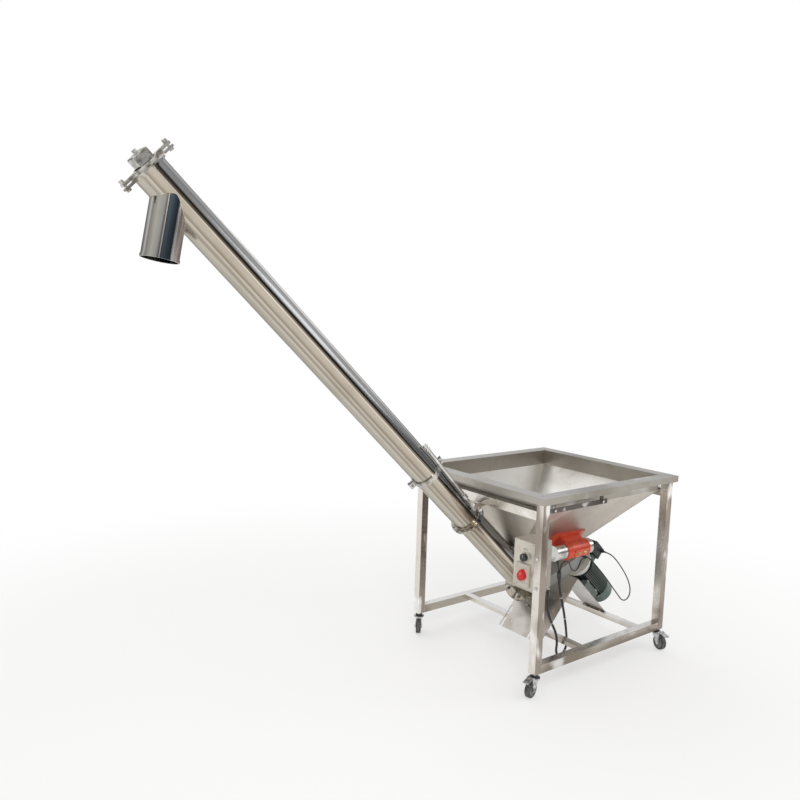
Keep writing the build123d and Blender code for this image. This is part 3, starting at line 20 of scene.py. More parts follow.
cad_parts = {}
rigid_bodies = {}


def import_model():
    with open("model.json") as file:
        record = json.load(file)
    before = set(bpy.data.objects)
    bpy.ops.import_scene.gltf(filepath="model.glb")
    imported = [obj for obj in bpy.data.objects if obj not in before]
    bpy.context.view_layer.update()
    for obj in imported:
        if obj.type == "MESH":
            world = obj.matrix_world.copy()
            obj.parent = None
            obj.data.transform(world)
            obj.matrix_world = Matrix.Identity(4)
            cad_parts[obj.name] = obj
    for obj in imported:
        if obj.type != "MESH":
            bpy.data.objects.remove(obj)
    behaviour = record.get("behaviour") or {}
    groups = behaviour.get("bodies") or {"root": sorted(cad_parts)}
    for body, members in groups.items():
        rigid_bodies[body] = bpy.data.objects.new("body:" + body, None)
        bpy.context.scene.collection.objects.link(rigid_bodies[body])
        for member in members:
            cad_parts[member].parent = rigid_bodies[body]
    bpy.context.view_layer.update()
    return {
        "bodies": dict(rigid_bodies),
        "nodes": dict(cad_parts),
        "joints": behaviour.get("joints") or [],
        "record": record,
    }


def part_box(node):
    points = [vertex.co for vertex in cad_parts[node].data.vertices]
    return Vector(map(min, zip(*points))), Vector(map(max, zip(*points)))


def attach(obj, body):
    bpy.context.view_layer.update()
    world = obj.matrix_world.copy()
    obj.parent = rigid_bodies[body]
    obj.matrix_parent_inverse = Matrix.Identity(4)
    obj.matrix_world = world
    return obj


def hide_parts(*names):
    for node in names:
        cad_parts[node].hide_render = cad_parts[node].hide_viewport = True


LOG = logging.getLogger("auger")
MM = 0.001
Colour = tuple[float, float, float]
Point = tuple[float, float, float]
ORIGIN = (0.0, 0.0, 0.0)
TRIM_START, TRIM_END = 4, 5     # Trim Curve has two pairs of sockets with the same names


class Body(Enum):
    """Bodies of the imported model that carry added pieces."""

    FRAME = "frame"
    DIAL = "speed_dial"
    ISOLATOR = "isolator"


# ------------------------------------------------------------------ nodes
class Link:
    """An output socket that Python arithmetic can use."""

    def __init__(self, tree: Tree, socket: bpy.types.NodeSocket) -> None:
        """Keep the socket and the tree that it belongs to."""
        self.tree = tree
        self.socket = socket

    def maths(self, operation: str, *values: Link | float) -> Link:
        """Add a Math node.

        Args:
            operation: Blender's name for what it does.
            values: Its inputs in order.

        Returns:
            The node's result.
        """
        return self.tree.node("ShaderNodeMath", {"operation": operation}, dict(enumerate(values)))

    def __add__(self, other: Link | float) -> Link:
        """Sum."""
        return self.maths("ADD", self, other)

    def __radd__(self, other: float) -> Link:
        """Sum with the number first."""
        return self.maths("ADD", other, self)

    def __sub__(self, other: Link | float) -> Link:
        """Difference."""
        return self.maths("SUBTRACT", self, other)

    def __rsub__(self, other: float) -> Link:
        """Difference from a number."""
        return self.maths("SUBTRACT", other, self)

    def __mul__(self, other: Link | float) -> Link:
        """Product."""
        return self.maths("MULTIPLY", self, other)

    def __rmul__(self, other: float) -> Link:
        """Product with the number first."""
        return self.maths("MULTIPLY", other, self)

    def __truediv__(self, other: Link | float) -> Link:
        """Quotient."""
        return self.maths("DIVIDE", self, other)

    def positive(self) -> Link:
        """The value, or 0 where it is negative."""
        return self.maths("MAXIMUM", self, 0.0)

    def size(self) -> Link:
        """The value without its sign."""
        return self.maths("ABSOLUTE", self)


class Tree:
    """A node tree that is filled through one method."""

    def __init__(self, tree: bpy.types.NodeTree) -> None:
        """Start the tree empty."""
        self.tree = tree
        tree.nodes.clear()

    def node(self, kind: str, settings: dict | None = None, values: dict | None = None, output: int | str = 0) -> Link:
        """Add a node.

        Args:
            kind: Blender's type name.
            settings: Properties set first; "stops" fills a colour ramp with (place, colour) pairs.
            values: Input sockets by name or index, each a link or a plain value.
            output: Name or index of the socket that is returned.

        Returns:
            The chosen output.
        """
        made = self.tree.nodes.new(kind)
        for name, value in (settings or {}).items():
            if name == "stops":
                self.fill_ramp(made.color_ramp, value)
            else:
                setattr(made, name, value)
        for key, value in (values or {}).items():
            if isinstance(value, Link):
                self.tree.links.new(value.socket, made.inputs[key])
            else:
                made.inputs[key].default_value = value
        return Link(self, made.outputs[output])

    @staticmethod
    def fill_ramp(ramp: bpy.types.ColorRamp, stops: list[tuple[float, Colour]]) -> None:
        """Give a colour ramp its stops, which are in rising order."""
        while len(ramp.elements) < len(stops):
            ramp.elements.new(1.0)
        for element, (place, colour) in zip(ramp.elements, stops):
            element.position = place
            element.color = (*colour, 1.0)


class Shader(Tree):
    """Material whose patterns follow the object's own coordinates."""

    def __init__(self, name: str) -> None:
        """Start a material with its object coordinates."""
        self.material = bpy.data.materials.new(name)
        self.material.use_nodes = True
        super().__init__(self.material.node_tree)
        self.place = self.node("ShaderNodeTexCoord", output="Object")

    def along(self, direction: Point, origin: Point = ORIGIN) -> Link:
        """Distance of the shaded point from origin, measured along a direction."""
        moved = self.node("ShaderNodeVectorMath", {"operation": "SUBTRACT"}, {0: self.place, 1: tuple(origin)})
        settings = {"operation": "DOT_PRODUCT"}
        return self.node("ShaderNodeVectorMath", settings, {0: moved, 1: tuple(direction)}, "Value")

    def radius(self, origin: Point, axis: Point) -> Link:
        """Distance of the shaded point from an axis of unit length."""
        moved = self.node("ShaderNodeVectorMath", {"operation": "SUBTRACT"}, {0: self.place, 1: origin})
        crossed = self.node("ShaderNodeVectorMath", {"operation": "CROSS_PRODUCT"}, {0: moved, 1: axis})
        return self.node("ShaderNodeVectorMath", {"operation": "LENGTH"}, {0: crossed}, "Value")

    def facing(self, direction: Point) -> Link:
        """Cosine between the surface's own normal and a direction."""
        normal = self.node("ShaderNodeTexCoord", output="Normal")
        settings = {"operation": "DOT_PRODUCT"}
        return self.node("ShaderNodeVectorMath", settings, {0: normal, 1: tuple(direction)}, "Value")

    def stretched(self, scale: Point) -> Link:
        """Object coordinates with a scale for each axis."""
        return self.node("ShaderNodeMapping", values={"Vector": self.place, "Scale": scale})

    def noise(self, vector: Link, scale: float, detail: float = 3.0, roughness: float = 0.55) -> Link:
        """Fractal noise from 0 to 1."""
        values = {"Vector": vector, "Scale": scale, "Detail": detail, "Roughness": roughness}
        return self.node("ShaderNodeTexNoise", values=values)

    def vector(self, x: Link | float, y: Link | float, z: Link | float) -> Link:
        """Join three numbers."""
        return self.node("ShaderNodeCombineXYZ", values={0: x, 1: y, 2: z})

    def ramp(self, factor: Link, stops: list[tuple[float, Colour]]) -> Link:
        """Colour that changes with a number."""
        return self.node("ShaderNodeValToRGB", {"stops": stops}, {0: factor})

    def window(self, factor: Link, low: float, high: float) -> Link:
        """0 below low, 1 above high and smooth between them."""
        values = {"Value": factor, "From Min": low, "From Max": high}
        return self.node("ShaderNodeMapRange", {"interpolation_type": "SMOOTHSTEP"}, values)

    def blend(self, first: Link | Colour, second: Link | Colour, factor: Link | float, way: str = "MIX") -> Link:
        """Mix two colours.

        Args:
            first: Colour where factor is 0.
            second: Colour where factor is 1.
            factor: Share of the second colour.
            way: Blender's name for how they mix.

        Returns:
            The mixed colour.
        """
        pair = [value if isinstance(value, Link) else (*value, 1.0) for value in (first, second)]
        settings = {"data_type": "RGBA", "blend_type": way}
        return self.node("ShaderNodeMix", settings, {0: factor, 6: pair[0], 7: pair[1]}, 2)

    def bump(self, height: Link, distance: float) -> Link:
        """Normal that is raised by a height."""
        return self.node("ShaderNodeBump", values={"Height": height, "Distance": distance}, output="Normal")

    def surface(self, base: Link | Colour, **sockets: Link | float) -> bpy.types.Material:
        """Close the material.

        Args:
            base: Base colour.
            sockets: Other inputs of the surface, with underscores for spaces.

        Returns:
            The finished material.
        """
        values = {name.replace("_", " "): value for name, value in sockets.items()}
        values["Base Color"] = base if isinstance(base, Link) else (*base, 1.0)
        shaded = self.node("ShaderNodeBsdfPrincipled", values=values)
        self.node_out(shaded)
        return self.material

    def node_out(self, shaded: Link) -> None:
        """Connect the surface to the material's output."""
        out = self.tree.nodes.new("ShaderNodeOutputMaterial")
        self.tree.links.new(shaded.socket, out.inputs["Surface"])


class Work(Tree):
    """Geometry tree that turns a path or points into finished mesh."""

    def __init__(self, name: str, inputs: dict[str, str]) -> None:
        """Start the tree.

        Args:
            name: Name of the tree.
            inputs: Socket type of each named size.
        """
        group = bpy.data.node_groups.new(name, "GeometryNodeTree")
        super().__init__(group)
        group.interface.new_socket("Mesh", in_out="OUTPUT", socket_type="NodeSocketGeometry")
        group.interface.new_socket("Path", in_out="INPUT", socket_type="NodeSocketGeometry")
        kinds = {**inputs, "Finish": "NodeSocketMaterial"}
        self.identifiers = {
            key: group.interface.new_socket(key, in_out="INPUT", socket_type=kind).identifier
            for key, kind in kinds.items()
        }
        self.entry = group.nodes.new("NodeGroupInput")

    def given(self, name: str) -> Link:
        """One of the tree's named inputs."""
        return Link(self, self.entry.outputs[name])

    def close(self, geometry: Link, smooth: bool = True) -> None:
        """Realize what was made, set its finish and end the tree."""
        real = self.node("GeometryNodeRealizeInstances", values={0: geometry})
        shaded = self.node("GeometryNodeSetShadeSmooth", values={0: real, "Shade Smooth": smooth})
        done = self.node("GeometryNodeSetMaterial", values={0: shaded, "Material": self.given("Finish")})
        out = self.tree.nodes.new("NodeGroupOutput")
        self.tree.links.new(done.socket, out.inputs[0])

    def make(self, name: str, path: bpy.types.Object, finish: bpy.types.Material, **sizes: object) -> bpy.types.Object:
        """Run the tree on a path and keep the result as a plain mesh.

        Args:
            name: Name of the new piece.
            path: Object whose mesh is the path; it is used up.
            finish: Material of the result.
            sizes: The tree's inputs, with underscores for spaces.

        Returns:
            The new piece.
        """
        modifier = path.modifiers.new("work", "NODES")
        modifier.node_group = self.tree
        modifier[self.identifiers["Finish"]] = finish
        for key, value in sizes.items():
            modifier[self.identifiers[key.replace("_", " ")]] = value
        bpy.context.view_layer.update()
        seen = path.evaluated_get(bpy.context.evaluated_depsgraph_get())
        mesh = bpy.data.meshes.new_from_object(seen)
        path.modifiers.clear()
        bpy.data.objects.remove(path)
        return added(name, mesh)


def added(name: str, mesh: bpy.types.Mesh) -> bpy.types.Object:
    """Put a mesh in the scene as an object at the origin."""
    mesh.name = name
    made = bpy.data.objects.new(name, mesh)
    bpy.context.scene.collection.objects.link(made)
    return made


def polyline(points: list[Vector], closed: bool = False, facing: list[Vector] | None = None) -> bpy.types.Object:
    """Mesh of points joined in order.

    Args:
        points: The points in metres.
        closed: Whether the last joins the first.
        facing: Direction stored at each point, for copies placed there; the points are then left unjoined.

    Returns:
        The mesh as an object.
    """
    count = len(points)
    edges = [(index, index + 1) for index in range(count - 1)] + ([(count - 1, 0)] if closed else [])
    mesh = bpy.data.meshes.new("path")
    mesh.from_pydata([tuple(point) for point in points], [] if facing else edges, [])
    if facing:
        stored = mesh.attributes.new("facing", "FLOAT_VECTOR", "POINT")
        for item, direction in zip(stored.data, facing):
            item.vector = direction
    return added("path", mesh)


def ribbed_tube_work() -> Work:
    """Round tube along a path, with ribs and a taper."""
    sizes = ("Radius", "End Radius", "Rib Depth", "Rib Pitch", "From", "To", "Step")
    work = Work("ribbed_tube", {**dict.fromkeys(sizes, "NodeSocketFloat"), "Sides": "NodeSocketInt"})
    curve = work.node("GeometryNodeMeshToCurve", values={0: work.given("Path")})
    span = {"Curve": curve, TRIM_START: work.given("From"), TRIM_END: work.given("To")}
    cut = work.node("GeometryNodeTrimCurve", {"mode": "LENGTH"}, span)
    fine = work.node("GeometryNodeResampleCurve", {"mode": "LENGTH"}, {"Curve": cut, "Length": work.given("Step")})
    share = work.node("GeometryNodeSplineParameter", output="Factor")
    run = work.node("GeometryNodeSplineParameter", output="Length")
    wave = run / work.given("Rib Pitch") * (2 * math.pi)
    rib = (wave.maths("COSINE", wave) - 1) * work.given("Rib Depth") * 0.5
    radius = work.given("Radius") + (work.given("End Radius") - work.given("Radius")) * share + rib
    ring = work.node("GeometryNodeCurvePrimitiveCircle", values={"Resolution": work.given("Sides"), "Radius": 1.0})
    values = {"Curve": fine, "Profile Curve": ring, "Scale": radius, "Fill Caps": True}
    work.close(work.node("GeometryNodeCurveToMesh", values=values))
    return work


def bead_work() -> Work:
    """Row of faceted beads along a path, as a weld shows."""
    work = Work("weld_beads", {"Radius": "NodeSocketFloat", "Spacing": "NodeSocketFloat"})
    curve = work.node("GeometryNodeMeshToCurve", values={0: work.given("Path")})
    values = {"Curve": curve, "Length": work.given("Spacing")}
    fine = work.node("GeometryNodeResampleCurve", {"mode": "LENGTH"}, values)
    bead = work.node("GeometryNodeMeshIcoSphere", values={"Radius": work.given("Radius"), "Subdivisions": 1})
    work.close(work.node("GeometryNodeInstanceOnPoints", values={"Points": fine, "Instance": bead}))
    return work


def copies_work() -> Work:
    """Copies of one object on points, each turned to face the point's stored direction."""
    work = Work("copies", {"Copy": "NodeSocketObject", "Size": "NodeSocketFloat"})
    copy = work.node("GeometryNodeObjectInfo", values={"Object": work.given("Copy")}, output="Geometry")
    facing = work.node("GeometryNodeInputNamedAttribute", {"data_type": "FLOAT_VECTOR"}, {"Name": "facing"})
    turn = work.node("FunctionNodeAlignRotationToVector", {"axis": "Z"}, {"Vector": facing})
    size = work.node("ShaderNodeCombineXYZ", values={axis: work.given("Size") for axis in range(3)})
    values = {"Points": work.given("Path"), "Instance": copy, "Rotation": turn, "Scale": size}
    work.close(work.node("GeometryNodeInstanceOnPoints", values=values), smooth=False)
    return work


def lathe(name: str, outline: list[tuple[float, float]], sides: int = 24) -> bpy.types.Object:
    """Solid of revolution about Z.

    Args:
        name: Name of the object.
        outline: (radius, height) points from the axis to the axis.
        sides: Number of facets round it.

    Returns:
        The object, at the origin.
    """
    shell = bmesh.new()
    rows = []
    for radius, height in outline:
        count = 1 if radius < 1e-7 else sides
        turns = [2 * math.pi * index / sides for index in range(count)]
        rows.append([shell.verts.new((radius * math.cos(a), radius * math.sin(a), height)) for a in turns])
    for low, high in zip(rows, rows[1:]):
        for index in range(sides):
            after = (index + 1) % sides
            corners = [low[index % len(low)], low[after % len(low)], high[after % len(high)], high[index % len(high)]]
            unique = list(dict.fromkeys(corners))
            if len(unique) > 2:
                shell.faces.new(unique)
    bmesh.ops.recalc_face_normals(shell, faces=shell.faces[:])
    mesh = bpy.data.meshes.new(name)
    shell.to_mesh(mesh)
    shell.free()
    return added(name, mesh)


def slab(name: str, size: Point, round_edge: float) -> bpy.types.Object:
    """Rectangular pad with its edges rounded, centred on the origin."""
    shell = bmesh.new()
    bmesh.ops.create_cube(shell, size=1.0)
    bmesh.ops.scale(shell, vec=size, verts=shell.verts[:])
    bmesh.ops.bevel(shell, geom=shell.edges[:], offset=round_edge, segments=3, affect="EDGES", profile=0.5)
    mesh = bpy.data.meshes.new(name)
    shell.to_mesh(mesh)
    shell.free()
    return added(name, mesh)


def settle(piece: bpy.types.Object, place: Matrix, finish: bpy.types.Material) -> bpy.types.Object:
    """Move a piece's mesh to its place and give it its finish."""
    piece.data.transform(place)
    piece.data.materials.clear()
    piece.data.materials.append(finish)
    return piece


def basis(origin: Vector, out: Vector, along: Vector) -> Matrix:
    """Placing matrix whose Z is out and whose X is along."""
    out, along = out.normalized(), along.normalized()
    turned = Matrix((along, out.cross(along), out)).transposed().to_4x4()
    return Matrix.Translation(origin) @ turned


# ------------------------------------------------------------------ finishes
@dataclass(frozen=True)
class RolledTube:
    """Polished round tube: painted reflection bands change round its axis and drawn streaks run along it.

    The band list holds (degrees from start round to the far side, tone), the same on both halves; the bands are painted
    highlights and painted reflections.
    """

    name: str
    origin: Point
    axis: Point
    start: Point
    side: Point
    reflection_bands: tuple[tuple[float, Colour], ...]
    roughness: float = 0.2

    def material(self) -> bpy.types.Material:
        """Build the material."""
        shader = Shader(self.name)
        run = shader.along(self.axis, self.origin)
        start, side = shader.along(self.start, self.origin), shader.along(self.side, self.origin)
        drift = shader.noise(shader.vector(run * 1.5, start * 4.0, side * 4.0), 1.0, 2.0) - 0.5
        turn = start.maths("ARCTAN2", side.size(), start) / math.pi + drift * 0.025
        # Painted reflection: the tone set by angle round the axis stands in for highlights and mirrored surroundings.
        tone = shader.ramp(turn, [(angle / 180, colour) for angle, colour in self.reflection_bands])
        streak = shader.noise(shader.vector(run * 0.8, start * 90.0, side * 90.0), 1.0, 4.0)
        tone = shader.blend(tone, (0.52, 0.47, 0.4), shader.window(streak, 0.48, 0.75) * 0.45, "MULTIPLY")
        cloud = shader.noise(shader.vector(run * 5.0, start * 9.0, side * 9.0), 1.0)
        tone = shader.blend(tone, (0.75, 0.72, 0.66), shader.window(cloud, 0.45, 0.7) * 0.35, "MULTIPLY")
        rough = streak * 0.12 + cloud * 0.1 + (self.roughness - 0.1)
        hairs = shader.noise(shader.vector(run * 12.0, start * 900.0, side * 900.0), 1.0, 2.0)
        return shader.surface(tone, Metallic=1.0, Roughness=rough, Normal=shader.bump(hairs, 0.00002))


@dataclass(frozen=True)
class SheetSteel:
    """Polished stainless sheet or bar, with painted light: a tone for each way that it faces, and painted dark
    reflections and glints.
    """

    name: str
    front: Colour
    side: Colour
    top: Colour
    under: Colour
    grain: Point = (3.0, 3.0, 0.7)
    reflection_strength: float = 0.6
    roughness: float = 0.26

    def material(self) -> bpy.types.Material:
        """Build the material."""
        shader = Shader(self.name)
        level, upright = shader.facing((0, 1, 0)), shader.facing((0, 0, 1))
        # Painted light and painted reflection: fronts, sides, tops and undersides each get their own tone.
        tone = shader.blend(self.front, self.side, level * level)
        tone = shader.blend(tone, self.top, upright.positive())
        tone = shader.blend(tone, self.under, (0.0 - upright).positive())
        # Painted reflections: dark patches and bright glints, stretched along the grain.
        dark_reflection = shader.noise(shader.stretched(self.grain), 1.6, 2.0)
        tone = shader.blend(tone, (0.36, 0.31, 0.27), shader.window(dark_reflection, 0.5, 0.62) * self.reflection_strength, "MULTIPLY")
        glint = shader.noise(shader.stretched(tuple(3.1 * value for value in self.grain)), 1.3, 2.0)
        tone = shader.blend(tone, (0.97, 0.96, 0.94), shader.window(glint, 0.58, 0.68) * self.reflection_strength)
        smear = shader.noise(shader.place, 22.0, 4.0)
        tone = shader.blend(tone, (0.8, 0.76, 0.7), shader.window(smear, 0.5, 0.75) * 0.4, "MULTIPLY")
        hairs = shader.noise(shader.stretched(tuple(60.0 * value for value in self.grain)), 3.0, 3.0)
        rough = self.roughness + (smear - 0.5) * 0.12 + (hairs - 0.5) * 0.08
        return shader.surface(tone, Metallic=1.0, Roughness=rough, Normal=shader.bump(hairs, 0.00003))


@dataclass(frozen=True)
class Machined:
    """Turned, cast or plated metal: bolts, bearings, sprockets, zinc forks."""

    name: str
    tone: Colour
    shade: Colour
    roughness: float = 0.32
    grain: float = 160.0
    metal: float = 1.0

    def material(self) -> bpy.types.Material:
        """Build the material."""
        shader = Shader(self.name)
        cloud = shader.noise(shader.place, self.grain * 0.25, 4.0)
        cells = shader.node("ShaderNodeTexVoronoi", values={"Vector": shader.place, "Scale": self.grain})
        tone = shader.blend(self.tone, self.shade, shader.window(cloud, 0.42, 0.66))
        # Painted shade: faces that point down are darkened towards the darker tone.
        tone = shader.blend(tone, self.shade, shader.facing((0, 0, -1)).positive() * 0.7)
        rough = self.roughness + (cloud - 0.5) * 0.25
        return shader.surface(tone, Metallic=self.metal, Roughness=rough, Normal=shader.bump(cells, 0.00008))


@dataclass(frozen=True)
class Enamel:
    """Sprayed or stoved paint with orange peel, a second tone in soft clouds and on upward faces, and rubbed spots."""

    name: str
    tone: Colour
    cloud_and_top_tone: Colour
    rubbed: Colour
    roughness: float = 0.38
    peel: float = 700.0

    def material(self) -> bpy.types.Material:
        """Build the material."""
        shader = Shader(self.name)
        cloud = shader.noise(shader.place, 26.0, 5.0)
        spots = shader.noise(shader.place, 210.0, 3.0)
        # A second tone in soft clouds, and upward faces shifted part way towards it.
        tone = shader.blend(self.tone, self.cloud_and_top_tone, shader.window(cloud, 0.5, 0.78) * 0.55)
        tone = shader.blend(tone, self.cloud_and_top_tone, shader.facing((0, 0, 1)).positive() * 0.22)
        tone = shader.blend(tone, self.rubbed, shader.window(spots, 0.68, 0.74))
        rough = self.roughness + (cloud - 0.5) * 0.3
        peel = shader.noise(shader.place, self.peel, 2.0)
        return shader.surface(tone, Roughness=rough, Coat_Weight=0.25, Normal=shader.bump(peel, 0.00012))


@dataclass(frozen=True)
class FinnedPaint:
    """Dark paint in the valleys between fins, with a painted highlight on their tips."""

    name: str
    origin: Point
    axis: Point
    valley: float = 0.060
    tip: float = 0.0695
    dark: Colour = (0.008, 0.014, 0.012)
    tip_highlight: Colour = (0.13, 0.165, 0.15)

    def material(self) -> bpy.types.Material:
        """Build the material."""
        shader = Shader(self.name)
        radius = shader.radius(self.origin, self.axis)
        cloud = shader.noise(shader.place, 60.0, 4.0)
        # Painted highlight: the tips of the fins are lifted towards a lighter tone so that they read as light lines.
        crest = shader.window(radius, self.valley, self.tip)
        tone = shader.blend(self.dark, self.tip_highlight, crest * crest * (cloud * 0.6 + 0.45))
        peel = shader.noise(shader.place, 700.0, 2.0)
        rough = 0.42 + (cloud - 0.5) * 0.3
        return shader.surface(tone, Roughness=rough, Coat_Weight=0.2, Normal=shader.bump(peel, 0.00012))


@dataclass(frozen=True)
class Moulded:
    """Moulded plastic or rubber with a fine grain and handling marks."""

    name: str
    tone: Colour
    worn: Colour
    roughness: float = 0.45
    grain: float = 1400.0

    def material(self) -> bpy.types.Material:
        """Build the material."""
        shader = Shader(self.name)
        cloud = shader.noise(shader.place, 45.0, 4.0)
        tone = shader.blend(self.tone, self.worn, shader.window(cloud, 0.46, 0.74))
        fine = shader.noise(shader.place, self.grain, 2.0)
        rough = self.roughness + (cloud - 0.5) * 0.25 + (fine - 0.5) * 0.08
        return shader.surface(tone, Roughness=rough, Normal=shader.bump(fine, 0.00008))


@dataclass(frozen=True)
class RollerRubber:
    """Caster wheel: a rubber tyre outside and a moulded hub inside, told apart by radius."""

    name: str
    centre: Point
    axle: Point
    hub_edge: float = 0.0285
    tyre: Colour = (0.042, 0.041, 0.04)
    hub: Colour = (0.2, 0.2, 0.205)
    scuff: Colour = (0.17, 0.16, 0.15)

    def material(self) -> bpy.types.Material:
        """Build the material."""
        shader = Shader(self.name)
        radius = shader.radius(self.centre, self.axle)
        outside = shader.window(radius, self.hub_edge - 0.0006, self.hub_edge + 0.0006)
        cloud = shader.noise(shader.place, 90.0, 5.0)
        tread = shader.window(radius, 0.034, 0.037) * shader.window(cloud, 0.4, 0.65)
        tone = shader.blend(self.hub, self.tyre, outside)
        tone = shader.blend(tone, self.scuff, tread * 0.8)
        rings = radius * 2600.0
        height = rings.maths("SINE", rings) * 0.3 + cloud
        rough = 0.42 + outside * 0.2 + (cloud - 0.5) * 0.2
        return shader.surface(tone, Roughness=rough, Normal=shader.bump(height, 0.00015))


PALE, WHITE, GREY, DARK = (0.78, 0.74, 0.68), (0.93, 0.92, 0.9), (0.42, 0.42, 0.42), (0.17, 0.155, 0.145)
# The front, side, top and underside colours of each sheet finish below are painted light and painted reflection, one
# tone per facing.
LEG_STEEL = SheetSteel("leg_steel", PALE, (0.36, 0.31, 0.265), WHITE, DARK, (3.0, 3.0, 1.1), 0.85)
RAIL_STEEL = SheetSteel("rail_steel", PALE, (0.47, 0.43, 0.37), WHITE, DARK, (0.9, 0.9, 3.0), 0.7)
HOPPER_STEEL = SheetSteel(
    "hopper_steel", (0.5, 0.47, 0.42), (0.44, 0.41, 0.36), (0.56, 0.55, 0.53), (0.66, 0.61, 0.54), (0.8, 0.8, 0.5),
    0.35, 0.42,
)
PLATE_STEEL = SheetSteel(
    "plate_steel", (0.72, 0.7, 0.68), (0.5, 0.48, 0.46), PALE, (0.5, 0.48, 0.46), (1.2, 1.2, 1.2), 0.35, 0.34,
)
BOX_STEEL = SheetSteel("box_steel", (0.66, 0.62, 0.54), (0.4, 0.37, 0.33), PALE, DARK, (1.5, 1.5, 1.0), 0.25, 0.36)
STAY_STEEL = SheetSteel("stay_steel", WHITE, (0.8, 0.77, 0.72), WHITE, DARK, (4.0, 4.0, 4.0), 0.6, 0.16)
BAR_STEEL = SheetSteel("bar_steel", (0.2, 0.18, 0.17), (0.13, 0.115, 0.105), PALE, DARK, (3.0, 3.0, 3.0), 0.5)
SCREW_STEEL = Machined("screw_steel", (0.6, 0.58, 0.55), (0.35, 0.33, 0.31), 0.3, 120.0)
FASTENER = Machined("fastener", (0.7, 0.69, 0.67), (0.34, 0.33, 0.32), 0.25, 300.0)
BEARING = Machined("bearing", (0.58, 0.57, 0.54), (0.24, 0.23, 0.22), 0.28, 220.0)
HEAD_STEEL = Machined("head_steel", (0.68, 0.66, 0.62), (0.3, 0.28, 0.25), 0.2, 180.0)
CHAIN = Machined("chain", (0.3, 0.28, 0.25), (0.09, 0.08, 0.07), 0.42, 240.0)
ZINC = Machined("zinc", (0.6, 0.6, 0.61), (0.22, 0.22, 0.23), 0.34, 260.0)
WELD = Machined("weld", (0.7, 0.66, 0.58), (0.34, 0.27, 0.2), 0.3, 400.0)
PASSIVATED = Machined("passivated", (0.5, 0.58, 0.3), (0.2, 0.24, 0.1), 0.35, 400.0)
CASE = Enamel("case_paint", (0.36, 0.37, 0.35), (0.5, 0.49, 0.45), (0.2, 0.2, 0.2), 0.42)
COWL = Enamel("cowl_paint", (0.1, 0.145, 0.135), (0.2, 0.24, 0.22), (0.05, 0.07, 0.065), 0.34)
GEARHEAD = Enamel("gearhead_paint", (0.6, 0.6, 0.55), (0.42, 0.4, 0.36), (0.25, 0.24, 0.22), 0.4)
VIBRATOR = Enamel("vibrator_paint", (0.7, 0.06, 0.015), (0.2, 0.035, 0.02), (0.5, 0.3, 0.14), 0.34)
CAP = Machined("vibrator_cap", (0.66, 0.65, 0.63), (0.4, 0.39, 0.37), 0.22, 90.0)
TERMINAL = Moulded("terminal_plastic", (0.022, 0.026, 0.024), (0.055, 0.06, 0.056), 0.4)
SWITCH = Moulded("switch_plastic", (0.62, 0.58, 0.5), (0.5, 0.46, 0.4), 0.5)
KNOB_BLACK = Moulded("knob_black", (0.016, 0.016, 0.017), (0.05, 0.05, 0.05), 0.36)
KNOB_RED = Moulded("knob_red", (0.62, 0.008, 0.012), (0.42, 0.008, 0.01), 0.3)
DRIVE = Moulded("drive_plastic", (0.12, 0.13, 0.14), (0.2, 0.2, 0.2), 0.5)
SHEATH = Moulded("cable_sheath", (0.013, 0.013, 0.014), (0.045, 0.044, 0.042), 0.38, 900.0)
INK = Moulded("print_ink", (0.03, 0.03, 0.035), (0.06, 0.06, 0.06), 0.6)
TIE = Moulded("tie_plastic", (0.7, 0.69, 0.65), (0.55, 0.53, 0.48), 0.4)


class Finishes:
    """Makes each finish once, however many pieces wear it."""

    def __init__(self) -> None:
        """Start with none made."""
        self.made: dict[str, bpy.types.Material] = {}

    def get(self, finish: object) -> bpy.types.Material:
        """The material of a finish."""
        if finish.name not in self.made:
            self.made[finish.name] = finish.material()
        return self.made[finish.name]


